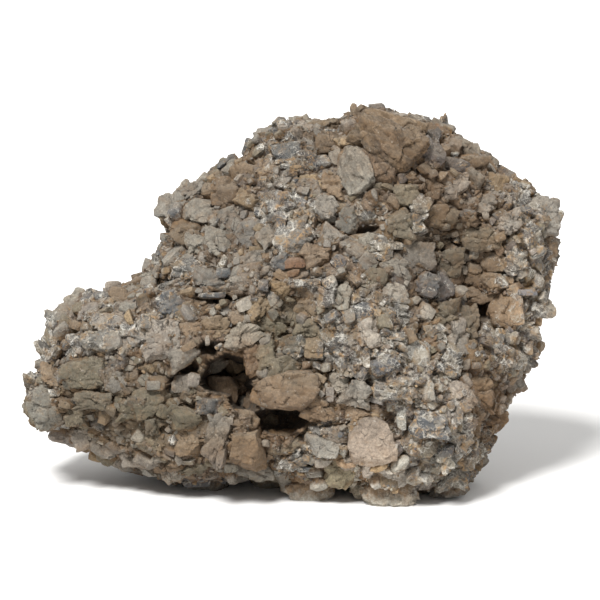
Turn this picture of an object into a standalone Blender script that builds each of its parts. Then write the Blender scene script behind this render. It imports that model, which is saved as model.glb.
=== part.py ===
"""Aquascaping rock: one lump of natural breccia, a solid of broken stones grown together.

The rock is laid out as it is seen from the front. On that picture plane a runs to the right and
b runs up, both in millimetres, and depth runs from the plane toward the viewer. The view looks
down by VIEW_TILT, so the last step turns the layout upright and sets it on the ground at z = 0.
"""

import math

import bmesh
import bpy
import numpy as np

MM = 0.001

# Where the picture plane stands: its tilt, and the moves that centre the rock over the origin.
VIEW_TILT = math.radians(12.0)
GROUND = 6.5
MOVE_X = 1.9
MOVE_Y = -20.4

# The body that carries the stones.
CENTRE = (0.0, 85.0)
RIM_INSET = 4.0
FRONT_DEPTH = 61.0
BACK_DEPTH = 69.0
SQUARENESS = 2.3
RIM_FADE = 0.4
RIM_SHARE = 0.99
NORMAL_STEP = 0.02
BODY_LEVEL = 5
BODY_KEEP = 0.24
ROCK_KEEP = 0.56

# The stones: how many planes cut each one, how far those lie from its middle, and how it sits.
SHAPE_SEED = 4210
BLOCK_SEED = SHAPE_SEED + 100
BLOCK_FACES = 8
PEBBLE_FACES = 12
START_CUBE = 2.08
SIDE_REACH = (0.84, 1.0)
CORNER_REACH = (0.9, 1.08)
BLOCK_JITTER = 0.24
DEPTH_SHARE = 0.92
BLOCK_PROUD = 0.36
PEBBLE_PROUD = 0.40
NORMAL_SHARE = 0.55

# The stones of the back, which are thrown at random and kept apart.
BACK_SEED = 77
BACK_FACES = 10
BACK_TRIES = 700
BACK_STONES = 92
BACK_FROM_RIM = 0.24
BACK_SPACING = 19.0
BACK_SIZES = (15.0, 31.0)
BACK_FLATNESS = (0.6, 1.0)
BACK_LEAN = (-60, 60)

# The underside hangs clear of the ground by this gap, apart from the feet.
UNDERSIDE_GAP = 4.5
UNDERSIDE_SOFT = 5.0
FOOT_SINK = 3.0
FOOT_SEED = 900
GROUND_SLAB = (400.0, 400.0, 80.0)

# The outline on the picture plane, clockwise from the left tip: (a, b).
OUTLINE = (
    (-137, 57), (-132, 65), (-128, 82), (-120, 95), (-106, 103), (-90, 105), (-78, 111),
    (-74, 124), (-66, 134), (-69, 148), (-58, 156), (-44, 167), (-28, 175), (-18, 186),
    (-1, 193), (10, 189), (26, 193), (44, 197), (60, 191), (77, 184), (92, 175),
    (103, 163), (119, 154), (130, 142), (128, 122), (123, 97), (116, 70), (107, 51),
    (97, 32), (90, 14), (80, 3), (60, 1), (40, 0), (18, 2), (0, 3), (-18, 9), (-33, 9),
    (-52, 4), (-70, 8), (-90, 16), (-106, 26), (-122, 34), (-134, 42),
)

# Broad swells and hollows of the front: (a, b, half length, half width, lean in degrees, height).
FRONT_RELIEF = (
    (50, 62, 52, 15, -50, 20),
    (40, 24, 42, 20, 0, 13),
    (-25, 24, 16, 13, 0, 10),
    (-5, 55, 20, 11, 0, 7),
    (-6, 92, 16, 11, -15, -9),
    (82, 116, 22, 26, 20, -23),
    (91, 92, 8, 10, 0, -8),
    (46, 174, 18, 16, -20, 7),
    (-42, 138, 30, 24, 20, -12),
    (-66, 60, 26, 12, 0, -5),
    (-100, 66, 26, 20, 0, 3),
    (28, 134, 12, 6, 15, -6),
    (-30, 62, 13, 14, 0, -6),
)

# The same for the back, where heights point away from the viewer.
BACK_RELIEF = (
    (-60, 70, 34, 24, 10, 8),
    (30, 120, 30, 34, -20, 9),
    (84, 70, 24, 20, 0, -12),
    (-18, 126, 22, 18, 30, -14),
    (-10, 50, 26, 16, 0, -9),
    (60, 160, 20, 14, 0, -8),
)

# Caves and gaps: (a, b, depth below the surface, half length, half width, half depth, lean).
HOLLOWS = (
    (-37, 63, 6, 9, 8.5, 26, 10),
    (-30, 51, 5, 9, 4.5, 22, -62),
    (-55, 67, 3, 3.5, 4, 12, 0),
    (-45, 76, 2, 4, 3, 9, 0),
    (-9, 42, 4, 13.3, 6.3, 26, 5),
    (20, 3, 2, 10, 5, 16, 0),
    (27, 64, 6, 17, 3.6, 12, -35),
    (45, 42, 5, 9, 2.6, 11, -52),
    (90, 95, 2, 4.5, 6, 10, 0),
    (30, 133.5, 2, 9, 2.2, 9, 12),
    (-43, 101, 2, 10, 2.2, 8, 0),
)

# Rounded stones: (a, b, width, height, lean).
PEBBLES = (
    (-125, 45, 19, 23, 0), (1, 10, 27, 17, 0), (35, 31, 22, 25, 0), (42, 6, 31, 13, 0),
    (121, 144, 21, 20, -20), (90, 131, 22, 14, -5), (-66, 80, 22, 20, 15),
    (28, 163, 19, 26, -8), (-50, 127, 12, 11, 0), (14, 177, 12, 10, 0), (-40, 32, 26, 13, 75),
    (71, 68, 19, 18, 0), (75, 52, 20, 16, -10), (47, 103, 16, 10, -15), (89, 62, 12, 11, 0),
    (90, 51, 12, 11, 0), (85, 113, 11, 10, 0), (-98, 80, 16, 10, 0), (-9, 33, 22, 13, 0),
    (-23, 16, 17, 10, 0), (44, 190, 30, 15, 0), (66, 141, 12, 11, 0), (60, 9, 17, 11, 0),
    (20, 16, 15, 17, -20), (-38, 55, 14, 13, 0), (-117, 91, 18, 13, -10),
)

# Broken stones: (a, b, width, height, lean).
BLOCKS = (
    (-103, 93, 12, 8, 35), (-94, 88, 14, 9, 0), (-111, 80, 10, 8, 0), (-123, 62, 9, 10, 0),
    (-105, 62, 26, 24, 5), (-91, 60, 10, 14, 0), (-133, 57, 8, 13, 0), (-110, 43, 11, 10, 0),
    (-107, 33, 12, 9, 0), (-98, 29, 14, 13, 0), (-88, 32, 9, 9, 0), (-88, 101, 12, 8, 0),
    (-102, 99, 14, 8, 0), (-82, 83, 11, 10, 0), (-127, 73, 9, 16, 10), (-83, 47, 11, 11, 0),
    (-67, 45, 30, 17, 0), (-71, 30, 14, 12, 0), (-56, 30, 14, 11, 0), (-83, 22, 13, 9, 0),
    (-62, 15, 10, 11, 0), (-50, 9, 15, 10, 0), (-37, 12, 12, 9, 0), (-67, 9, 10, 8, 0),
    (-27, 41, 12, 9, 0), (-26, 27, 21, 20, 0), (-24, 48, 8, 13, -10), (-63, 97, 13, 11, 0),
    (-53, 83, 11, 11, 0), (-57, 72, 15, 9, 25), (-42, 85, 13, 9, 0), (-45, 48, 11, 8, 0),
    (-58, 59, 9, 9, 0), (-30, 82, 16, 10, 35), (-26, 70, 14, 18, 0), (-20, 97, 14, 10, 35),
    (-17, 73, 12, 14, 0), (-15, 87, 13, 10, -10), (-8, 66, 18, 9, 20), (-5, 55, 32, 18, 3),
    (-43, 109, 16, 10, 0), (-45, 120, 11, 9, 0), (-28, 107, 11, 8, 0), (-20, 119, 20, 11, 38),
    (-25, 132, 14, 14, 0), (-36, 140, 15, 11, 30), (-39, 128, 14, 13, 0), (-57, 134, 15, 11, 0),
    (-64, 147, 13, 17, -10), (-53, 157, 12, 8, 20), (-50, 144, 17, 12, 0), (-36, 153, 16, 14, 0),
    (-25, 150, 15, 10, 0), (-26, 161, 17, 9, -20), (-67, 128, 11, 12, 0), (-70, 117, 10, 11, 0),
    (-56, 114, 12, 10, 0), (-5, 189, 13, 8, 0), (-20, 177, 11, 11, 0), (-7, 173, 13, 9, 0),
    (3, 169, 12, 9, 0), (-17, 165, 13, 10, 0), (-16, 152, 14, 10, 0), (-4, 142, 15, 12, 0),
    (-3, 131, 16, 13, 20), (12, 186, 14, 8, 0), (6, 157, 11, 10, 0), (17, 155, 10, 12, 0),
    (12, 146, 12, 11, 0), (24, 138, 9, 14, 0), (16, 131, 11, 10, -30), (37, 143, 16, 12, 0),
    (47, 171, 27, 22, -35), (64, 178, 9, 15, -20), (72, 182, 15, 9, -40), (65, 189, 12, 7, 0),
    (83, 178, 13, 9, -30), (75, 166, 15, 10, 0), (76, 156, 13, 11, 0), (87, 167, 12, 10, 0),
    (65, 155, 13, 10, 0), (52, 152, 14, 11, 0), (58, 141, 10, 11, 0), (49, 138, 11, 12, 0),
    (89, 147, 15, 10, 0), (97, 156, 11, 12, 0), (108, 152, 13, 11, -30), (104, 139, 11, 12, 0),
    (112, 131, 14, 12, 0), (108, 119, 13, 12, 0), (74, 118, 13, 13, 0), (95, 119, 12, 10, 0),
    (96, 109, 12, 9, 0), (88, 102, 13, 9, 0), (121, 113, 12, 16, 10), (126, 126, 7, 15, 0),
    (117, 99, 13, 12, 0), (111, 86, 13, 12, 0), (113, 73, 11, 13, 15), (99, 80, 13, 10, 0),
    (107, 61, 10, 13, 20), (100, 69, 12, 11, 0), (6, 121, 15, 12, 0), (-8, 119, 11, 9, 0),
    (8, 110, 14, 10, 0), (21, 101, 12, 11, 0), (-8, 108, 12, 9, 40), (-6, 94, 15, 13, 0),
    (5, 97, 11, 9, -30), (4, 86, 12, 10, 0), (-3, 76, 13, 11, 0), (7, 77, 10, 10, 0),
    (22, 75, 21, 22, 0), (15, 90, 11, 12, -50), (29, 118, 14, 10, -20), (31, 128, 13, 8, -15),
    (42, 125, 13, 12, 0), (58, 121, 14, 15, 0), (48, 115, 13, 9, -30), (61, 108, 10, 10, 0),
    (70, 104, 13, 11, -55), (72, 93, 12, 12, 0), (82, 89, 12, 17, 0), (102, 95, 15, 17, 0),
    (36, 110, 15, 10, 0), (34, 93, 14, 11, -30), (48, 93, 13, 11, 0), (34, 83, 10, 9, 0),
    (46, 81, 13, 11, 0), (57, 74, 14, 16, 0), (42, 69, 13, 11, 0), (48, 57, 16, 12, 0),
    (65, 84, 13, 13, 0), (13, 57, 9, 12, 0), (28, 54, 14, 13, 0), (24, 45, 20, 9, 0),
    (14, 38, 17, 10, 0), (12, 28, 17, 11, -15), (-5, 22, 22, 13, 0), (46, 15, 14, 16, 0),
    (57, 28, 14, 9, 0), (62, 39, 20, 13, 0), (51, 44, 9, 13, 0), (78, 34, 13, 16, 0),
    (69, 24, 14, 10, 0), (76, 15, 15, 12, 0), (86, 9, 9, 13, 0), (71, 4, 16, 8, 0),
    (87, 25, 12, 13, 0), (85, 72, 11, 13, 0), (86, 41, 11, 13, 0), (96, 44, 11, 15, 20),
    (93, 28, 9, 13, 10),
)

# Stones that carry the rock, set into its underside: (a, depth, width, height, lean).
FEET = (
    (44, 31, 30, 18, 0), (5, 22, 22, 16, 20), (74, 18, 20, 18, -20), (66, -30, 24, 19, 15),
    (26, -46, 26, 20, -10), (-20, -38, 24, 20, 30), (-46, -2, 22, 18, 0), (24, -8, 26, 22, 40),
    (-14, -8, 20, 18, 0), (58, -6, 20, 17, 60),
)

CLAY_GREY = (0.27, 0.24, 0.2, 1.0)
ROUGHNESS = 0.85


def clear_scene():
    for item in list(bpy.data.objects):
        bpy.data.objects.remove(item, do_unlink=True)


def polar(points):
    """Angle and distance of picture-plane points from the centre of the body."""
    across, up = points[:, 0] - CENTRE[0], points[:, 1] - CENTRE[1]
    return np.arctan2(up, across), np.hypot(across, up)


def reach(angle):
    """Distance from the centre to the inset outline in each direction."""
    corner_angle, distance = polar(np.array(OUTLINE, float))
    return np.interp(angle, corner_angle, distance - RIM_INSET, period=2 * math.pi)


def swell(a, b, rows):
    """Sum of leaning bell-shaped swells, each with its own height."""
    total = np.zeros_like(a)
    for row_a, row_b, length, width, lean, height in rows:
        turn = math.radians(lean)
        along = (a - row_a) * math.cos(turn) + (b - row_b) * math.sin(turn)
        across = (b - row_b) * math.cos(turn) - (a - row_a) * math.sin(turn)
        total += height * np.exp(-((along / length) ** 2) - (across / width) ** 2)
    return total


def body_points(directions):
    """Body surface, one picture-plane point (a, b, depth) for each unit direction.

    The share of the outline radius and the share of the depth follow a superellipse, so that the
    body is blunt at the rim, and the swells are added to the depth away from the rim.
    """
    angle = np.arctan2(directions[:, 1], directions[:, 0])
    radius = np.hypot(directions[:, 0], directions[:, 1]) ** (2 / SQUARENESS) * reach(angle)
    a = CENTRE[0] + radius * np.cos(angle)
    b = CENTRE[1] + radius * np.sin(angle)
    share = np.abs(directions[:, 2]) ** (2 / SQUARENESS)
    inside = np.clip(share / RIM_FADE, 0, 1)
    front = FRONT_DEPTH * share + swell(a, b, FRONT_RELIEF) * inside
    back = BACK_DEPTH * share + swell(a, b, BACK_RELIEF) * inside
    points = np.stack([a, b, np.where(directions[:, 2] > 0, front, -back)], axis=1)
    return lift_underside(points)


def lift_underside(points):
    """Raises what would hang lower than the underside, so that only the feet reach the ground."""
    floor = GROUND + UNDERSIDE_GAP
    height = points[:, 1] * math.cos(VIEW_TILT) + points[:, 2] * math.sin(VIEW_TILT)
    soft = np.logaddexp(0, (height - floor) / UNDERSIDE_SOFT) * UNDERSIDE_SOFT
    points[:, 1] += (floor + soft - height) / math.cos(VIEW_TILT)
    return points


def front_directions(points):
    """Unit directions whose body points lie at the given (a, b) on the front."""
    angle, distance = polar(points)
    share = np.clip(distance / reach(angle), 0, RIM_SHARE)
    away = share ** (SQUARENESS / 2)
    return np.stack([away * np.cos(angle), away * np.sin(angle), np.sqrt(1 - away**2)], axis=1)


def unit(vectors):
    return vectors / np.linalg.norm(vectors, axis=-1, keepdims=True)


def body_normals(directions):
    """Outward normals, from how the body surface changes over two small steps of direction."""
    step = NORMAL_STEP
    near_pole = np.abs(directions[:, 2:]) > 0.9
    helper = np.where(near_pole, [[1.0, 0.0, 0.0]], [[0.0, 0.0, 1.0]])
    side = unit(np.cross(helper, directions))
    other = np.cross(directions, side)
    first = body_points(unit(directions + step * side)) - body_points(unit(directions - step * side))
    second = body_points(unit(directions + step * other)) - body_points(unit(directions - step * other))
    return unit(np.cross(first, second))


def to_ground(points):
    """Picture-plane points in millimetres, turned upright and set on the ground, in metres."""
    a, b, depth = points[:, 0], points[:, 1], points[:, 2]
    x = a + MOVE_X
    y = b * math.sin(VIEW_TILT) - depth * math.cos(VIEW_TILT) + MOVE_Y
    z = b * math.cos(VIEW_TILT) + depth * math.sin(VIEW_TILT) - GROUND
    return np.stack([x, y, z], axis=1) * MM


def move_vertices(mesh, points):
    mesh.vertices.foreach_set("co", points.astype(np.float32).ravel())
    mesh.update()


def vertices_of(mesh):
    points = np.empty(len(mesh.vertices) * 3, np.float32)
    mesh.vertices.foreach_get("co", points)
    return points.reshape(-1, 3).astype(float)


def new_collection(name):
    made = bpy.data.collections.new(name)
    bpy.context.scene.collection.children.link(made)
    return made


def move_to(item, collection):
    for holder in list(item.users_collection):
        holder.objects.unlink(item)
    collection.objects.link(item)


def hide_helper(item, collection):
    move_to(item, collection)
    item.hide_render = True
    item.display_type = "WIRE"


def make_body():
    bpy.ops.mesh.primitive_ico_sphere_add(subdivisions=BODY_LEVEL, radius=1.0)
    body = bpy.context.object
    body.name = "rock"
    body.data.name = "rock"
    directions = unit(vertices_of(body.data))
    # The sphere's own z axis is taken as depth, and the turn to the ground keeps its handedness.
    move_vertices(body.data, to_ground(body_points(directions)))
    return body


def stone_planes(count, dice):
    """Normals and distances of the planes that bound one stone of unit radius.

    Six are the faces of a cube, turned a little, and the rest cut its corners.
    """
    axes = np.concatenate([np.eye(3), -np.eye(3)])
    axes = unit(axes + dice.normal(0, BLOCK_JITTER, (6, 3)))
    corners = unit(dice.normal(0, 1, (count - 6, 3)))
    normals = np.concatenate([axes, corners])
    sides = dice.uniform(*SIDE_REACH, 6)
    reaches = np.concatenate([sides, dice.uniform(*CORNER_REACH, count - 6)])
    return normals, reaches


def stone_mesh(name, normals, reaches):
    """One stone of about unit radius: a cube cut by every plane in turn."""
    shape = bmesh.new()
    bmesh.ops.create_cube(shape, size=START_CUBE)
    for normal, distance in zip(normals, reaches):
        everything = shape.verts[:] + shape.edges[:] + shape.faces[:]
        cut = bmesh.ops.bisect_plane(
            shape, geom=everything, plane_co=normal * distance, plane_no=normal, clear_outer=True
        )
        edges = [part for part in cut["geom_cut"] if isinstance(part, bmesh.types.BMEdge)]
        if edges:
            bmesh.ops.edgeloop_fill(shape, edges=edges)
    bmesh.ops.recalc_face_normals(shape, faces=shape.faces)
    mesh = bpy.data.meshes.new(name)
    shape.to_mesh(mesh)
    shape.free()
    return mesh


def stone_frame(normal, lean, toward):
    """Axes of a stone: along its width, along its height and out of the rock."""
    out = unit(toward + NORMAL_SHARE * normal)
    turn = math.radians(lean)
    wide = np.array([math.cos(turn), math.sin(turn), 0.0])
    high = unit(np.cross(out, wide))
    return np.stack([np.cross(high, out), high, out])


def add_stone(collection, name, row, directions, toward, faces, proud, dice):
    """Places one stone at a body direction; proud is the share of its depth that stands out."""
    width, height, lean = row
    normal = body_normals(directions)[0]
    axes = stone_frame(normal, lean, toward)
    depth = DEPTH_SHARE * math.sqrt(width * height)
    centre = body_points(directions)[0] + axes[2] * depth * (proud - 0.5)
    half = np.array([width, height, depth]) / 2
    add_placed_stone(collection, name, centre, half, axes, faces, dice)


def add_placed_stone(collection, name, centre, half, axes, faces, dice):
    """Shapes one stone and sets it at a centre, with its half sizes along its own axes."""
    mesh = stone_mesh(name, *stone_planes(faces, dice))
    move_vertices(mesh, to_ground(centre + (vertices_of(mesh) * half) @ axes))
    hide_helper(bpy.data.objects.new(name, mesh), collection)


def add_front_stones(collection, rows, faces, proud, kind, first_seed):
    toward = np.array([0.0, 0.0, 1.0])
    for index, (a, b, width, height, lean) in enumerate(rows):
        directions = front_directions(np.array([[a, b]], float))
        dice = np.random.default_rng(first_seed + index)
        name = f"{kind}_{index:03d}"
        add_stone(collection, name, (width, height, lean), directions, toward, faces, proud, dice)


def back_directions():
    """Seeded directions over the back and the hidden sides, kept a fixed distance apart."""
    dice = np.random.default_rng(BACK_SEED)
    tries = unit(dice.normal(0, 1, (BACK_TRIES, 3)))
    tries[:, 2] = -np.abs(tries[:, 2])
    tries = tries[tries[:, 2] < -BACK_FROM_RIM]
    kept = []
    places = body_points(tries)
    for index in range(len(tries)):
        gaps = [np.linalg.norm(places[index] - places[other]) for other in kept]
        if not gaps or min(gaps) > BACK_SPACING:
            kept.append(index)
    return tries[kept[:BACK_STONES]]


def add_back_stones(collection):
    for index, direction in enumerate(back_directions()):
        directions = direction[None, :]
        dice = np.random.default_rng(BACK_SEED + 1 + index)
        width = dice.uniform(*BACK_SIZES)
        row = (width, width * dice.uniform(*BACK_FLATNESS), dice.uniform(*BACK_LEAN))
        toward = body_normals(directions)[0]
        name = f"back_{index:03d}"
        add_stone(collection, name, row, directions, toward, BACK_FACES, BLOCK_PROUD, dice)


def add_feet(collection):
    """Stones whose outer faces lie just below the ground, where they are cut flat."""
    down = np.array([0.0, -math.cos(VIEW_TILT), -math.sin(VIEW_TILT)])
    for index, (a, depth, width, height, lean) in enumerate(FEET):
        dice = np.random.default_rng(FOOT_SEED + index)
        deep = DEPTH_SHARE * math.sqrt(width * height)
        lowest = GROUND - FOOT_SINK
        b = (lowest - depth * math.sin(VIEW_TILT)) / math.cos(VIEW_TILT)
        axes = stone_frame(down, lean, down)
        centre = np.array([a, b, depth]) - axes[2] * deep / 2
        half = np.array([width, height, deep]) / 2
        add_placed_stone(collection, f"foot_{index:02d}", centre, half, axes, PEBBLE_FACES, dice)


def add_hollows(collection):
    """Ellipsoid cutters for the caves and the gaps."""
    for a, b, below, length, width, deep, lean in HOLLOWS:
        directions = front_directions(np.array([[a, b]], float))
        centre = body_points(directions)[0] - [0, 0, below]
        axes = stone_frame(np.zeros(3), lean, np.array([0.0, 0.0, 1.0]))
        bpy.ops.mesh.primitive_ico_sphere_add(subdivisions=2, radius=1.0)
        cutter = bpy.context.object
        cutter.name = f"hollow_{len(collection.objects):02d}"
        points = centre + (vertices_of(cutter.data) * [length, width, deep]) @ axes
        move_vertices(cutter.data, to_ground(points))
        hide_helper(cutter, collection)


def add_ground_cutter(collection):
    """A slab whose top is the ground: what is below it is cut away, which leaves the resting face."""
    bpy.ops.mesh.primitive_cube_add(size=1.0)
    cutter = bpy.context.object
    cutter.name = "ground_cut"
    size = np.array(GROUND_SLAB) * MM
    move_vertices(cutter.data, vertices_of(cutter.data) * size - [0, 0, size[2] / 2])
    hide_helper(cutter, collection)


def add_boolean(body, name, operation, collection):
    modifier = body.modifiers.new(name, "BOOLEAN")
    modifier.operation = operation
    modifier.solver = "EXACT"
    modifier.operand_type = "COLLECTION"
    modifier.collection = collection


def stone_material():
    material = bpy.data.materials.new("breccia stone")
    material.use_nodes = True
    shader = material.node_tree.nodes["Principled BSDF"]
    shader.inputs["Base Color"].default_value = CLAY_GREY
    shader.inputs["Roughness"].default_value = ROUGHNESS
    return material


def connected_faces(start, waiting):
    """All the faces that share edges with the start face, directly or through others."""
    found = {start}
    latest = [start]
    while latest:
        face = latest.pop()
        for edge in face.edges:
            for other in edge.link_faces:
                if other not in found:
                    found.add(other)
                    latest.append(other)
    waiting -= found
    return found


def fill_pockets(mesh):
    """Stones that meet can close off small pockets. Deleting the pockets' walls makes them solid."""
    shape = bmesh.new()
    shape.from_mesh(mesh)
    waiting = set(shape.faces)
    shells = []
    while waiting:
        shells.append(connected_faces(next(iter(waiting)), waiting))
    shells.sort(key=len)
    inner = [face for shell in shells[:-1] for face in shell]
    bmesh.ops.delete(shape, geom=inner, context="FACES")
    shape.to_mesh(mesh)
    shape.free()


def grow_together(body, helpers):
    """Makes the body's modifiers permanent, fills closed pockets and removes the helpers."""
    graph = bpy.context.evaluated_depsgraph_get()
    mesh = bpy.data.meshes.new_from_object(body.evaluated_get(graph))
    body.modifiers.clear()
    fill_pockets(mesh)
    mesh.name = "rock"
    body.data = mesh
    for collection in helpers:
        for item in list(collection.objects):
            bpy.data.objects.remove(item, do_unlink=True)
        bpy.data.collections.remove(collection)


def main():
    clear_scene()
    body = make_body()
    move_to(body, new_collection("aquascaping rock"))
    stones = new_collection("stones")
    add_front_stones(stones, PEBBLES, PEBBLE_FACES, PEBBLE_PROUD, "pebble", SHAPE_SEED)
    add_front_stones(stones, BLOCKS, BLOCK_FACES, BLOCK_PROUD, "block", BLOCK_SEED)
    add_back_stones(stones)
    add_feet(stones)
    hollows = new_collection("hollows")
    add_hollows(hollows)
    ground = new_collection("ground")
    add_ground_cutter(ground)

    thin = body.modifiers.new("fewer faces", "DECIMATE")
    thin.ratio = BODY_KEEP
    add_boolean(body, "stones", "UNION", stones)
    add_boolean(body, "caves", "DIFFERENCE", hollows)
    grow_together(body, (stones, hollows))

    worn = body.modifiers.new("worn edges", "DECIMATE")
    worn.ratio = ROCK_KEEP
    add_boolean(body, "resting face", "DIFFERENCE", ground)
    body.data.materials.append(stone_material())


main()
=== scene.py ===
# %% [markdown]
# # A breccia rock, worked out with numpy
#
# Breccia is broken stone set in clay: grey limestone and dark slate, split by frost or a landslide,
# then glued together by mud and by the white crust that hard water leaves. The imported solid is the
# rock from a step away. This lesson draws the same rock from close up, in the same place and size.

import math

import bpy
import numpy as np
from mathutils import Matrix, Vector


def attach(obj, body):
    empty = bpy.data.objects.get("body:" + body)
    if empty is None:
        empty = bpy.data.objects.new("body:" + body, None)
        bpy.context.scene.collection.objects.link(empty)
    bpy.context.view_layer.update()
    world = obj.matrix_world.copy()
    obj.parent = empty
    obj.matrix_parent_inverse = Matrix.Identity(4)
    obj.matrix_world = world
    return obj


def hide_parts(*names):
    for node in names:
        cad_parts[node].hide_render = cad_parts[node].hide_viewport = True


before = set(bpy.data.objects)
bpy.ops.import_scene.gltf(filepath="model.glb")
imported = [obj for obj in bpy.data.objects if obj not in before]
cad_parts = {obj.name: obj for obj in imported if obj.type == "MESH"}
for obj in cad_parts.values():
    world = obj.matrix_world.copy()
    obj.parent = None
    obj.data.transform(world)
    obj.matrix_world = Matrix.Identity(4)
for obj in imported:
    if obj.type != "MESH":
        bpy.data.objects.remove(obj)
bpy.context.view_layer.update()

# %% [markdown]
# ## The picture plane
#
# A rock has no straight side to measure from, so it is laid out as it is seen: a runs right and b
# runs up, both in millimetres, and depth runs toward the viewer. The view looks down a little. The
# solid was laid out in the same way, so the same few numbers carry a point from the picture plane
# into the frame, and every piece below lands where the solid is.

# %% From the picture plane to the frame
MM = 0.001
VIEW_TILT = math.radians(12.0)
GROUND = 6.5
MOVE_X = 1.9
MOVE_Y = -20.4


def to_frame(points):
    """Millimetres on the picture plane to metres in the frame: a turn by the tilt, then a move."""
    a, b, depth = points[..., 0], points[..., 1], points[..., 2]
    x = a + MOVE_X
    y = b * math.sin(VIEW_TILT) - depth * math.cos(VIEW_TILT) + MOVE_Y
    z = b * math.cos(VIEW_TILT) + depth * math.sin(VIEW_TILT) - GROUND
    return np.stack([x, y, z], axis=-1) * MM


def unit(vectors):
    """Each vector divided by its own length."""
    return vectors / np.linalg.norm(vectors, axis=-1, keepdims=True)


print("the picture's zero lies at", to_frame(np.zeros(3)).round(4), "in the frame")

# %% [markdown]
# ## The body
#
# The mass of the rock is a blunt lump: its outline is read from the front, and its thickness follows
# a superellipse, which is an ellipse with fuller shoulders. Bell-shaped swells raise the ridge and
# sink the hollows. Working from directions, as on a globe, gives one closed surface with no seams.

# %% The outline and the swells
CENTRE = (0.0, 85.0)
RIM_INSET = 4.0
FRONT_DEPTH = 61.0
BACK_DEPTH = 69.0
SQUARENESS = 2.3
RIM_FADE = 0.4
RIM_SHARE = 0.99
NORMAL_STEP = 0.02
NEAR_POLE = 0.9
UNDERSIDE_GAP = 4.5
UNDERSIDE_SOFT = 5.0

OUTLINE = (
    (-137, 57), (-132, 65), (-128, 82), (-120, 95), (-106, 103), (-90, 105), (-78, 111),
    (-74, 124), (-66, 134), (-69, 148), (-58, 156), (-44, 167), (-28, 175), (-18, 186),
    (-1, 193), (10, 189), (26, 193), (44, 197), (60, 191), (77, 184), (92, 175),
    (103, 163), (119, 154), (130, 142), (128, 122), (123, 97), (116, 70), (107, 51),
    (97, 32), (90, 14), (80, 3), (60, 1), (40, 0), (18, 2), (0, 3), (-18, 9), (-33, 9),
    (-52, 4), (-70, 8), (-90, 16), (-106, 26), (-122, 34), (-134, 42),
)

# Swells: (a, b, half length, half width, lean in degrees, height).
FRONT_RELIEF = (
    (50, 62, 52, 15, -50, 20),
    (40, 24, 42, 20, 0, 13),
    (-25, 24, 16, 13, 0, 10),
    (-5, 55, 20, 11, 0, 7),
    (-6, 92, 16, 11, -15, -9),
    (82, 116, 22, 26, 20, -23),
    (91, 92, 8, 10, 0, -8),
    (46, 174, 18, 16, -20, 7),
    (-42, 138, 30, 24, 20, -12),
    (-66, 60, 26, 12, 0, -5),
    (-100, 66, 26, 20, 0, 3),
    (28, 134, 12, 6, 15, -6),
    (-30, 62, 13, 14, 0, -6),
)
BACK_RELIEF = (
    (-60, 70, 34, 24, 10, 8),
    (30, 120, 30, 34, -20, 9),
    (84, 70, 24, 20, 0, -12),
    (-18, 126, 22, 18, 30, -14),
    (-10, 50, 26, 16, 0, -9),
    (60, 160, 20, 14, 0, -8),
)


def polar(points):
    """Angle and distance of (a, b) from the centre of the body."""
    across, up = points[:, 0] - CENTRE[0], points[:, 1] - CENTRE[1]
    return np.arctan2(up, across), np.hypot(across, up)


def reach(angle):
    """Distance from the centre to the outline, drawn straight between its points in polar form."""
    corner_angle, distance = polar(np.array(OUTLINE, float))
    return np.interp(angle, corner_angle, distance - RIM_INSET, period=2 * math.pi)


def turned(a, b, row_a, row_b, lean):
    """How far (a, b) lies from (row_a, row_b), along and across a line with this lean."""
    turn = math.radians(lean)
    along = (a - row_a) * math.cos(turn) + (b - row_b) * math.sin(turn)
    across = (b - row_b) * math.cos(turn) - (a - row_a) * math.sin(turn)
    return along, across


def swell(a, b, rows):
    """Sum of height * exp(-(along / length)^2 - (across / width)^2), each turned by its lean."""
    total = np.zeros_like(a)
    for row_a, row_b, length, width, lean, height in rows:
        along, across = turned(a, b, row_a, row_b, lean)
        total += height * np.exp(-((along / length) ** 2) - (across / width) ** 2)
    return total


# %% The body surface
def lift_underside(points):
    """Height becomes floor + soft * log(1 + exp((height - floor) / soft)): nothing hangs below it."""
    floor = GROUND + UNDERSIDE_GAP
    height = points[:, 1] * math.cos(VIEW_TILT) + points[:, 2] * math.sin(VIEW_TILT)
    soft = np.logaddexp(0, (height - floor) / UNDERSIDE_SOFT) * UNDERSIDE_SOFT
    points[:, 1] += (floor + soft - height) / math.cos(VIEW_TILT)
    return points


def body_points(directions):
    """Radius share sin^(2/m) and depth share cos^(2/m) of each direction: a superellipse of power m."""
    angle = np.arctan2(directions[:, 1], directions[:, 0])
    radius = np.hypot(directions[:, 0], directions[:, 1]) ** (2 / SQUARENESS) * reach(angle)
    a = CENTRE[0] + radius * np.cos(angle)
    b = CENTRE[1] + radius * np.sin(angle)
    share = np.abs(directions[:, 2]) ** (2 / SQUARENESS)
    inside = np.clip(share / RIM_FADE, 0, 1)
    front = FRONT_DEPTH * share + swell(a, b, FRONT_RELIEF) * inside
    back = BACK_DEPTH * share + swell(a, b, BACK_RELIEF) * inside
    points = np.stack([a, b, np.where(directions[:, 2] > 0, front, -back)], axis=1)
    return lift_underside(points)


def body_normals(directions):
    """Cross product of how far the surface moves over two small steps of direction."""
    near_pole = np.abs(directions[:, 2:]) > NEAR_POLE
    helper = np.where(near_pole, [[1.0, 0.0, 0.0]], [[0.0, 0.0, 1.0]])
    side = unit(np.cross(helper, directions))
    other = np.cross(directions, side)
    moves = []
    for way in (side * NORMAL_STEP, other * NORMAL_STEP):
        moves.append(body_points(unit(directions + way)) - body_points(unit(directions - way)))
    return unit(np.cross(*moves))


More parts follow.
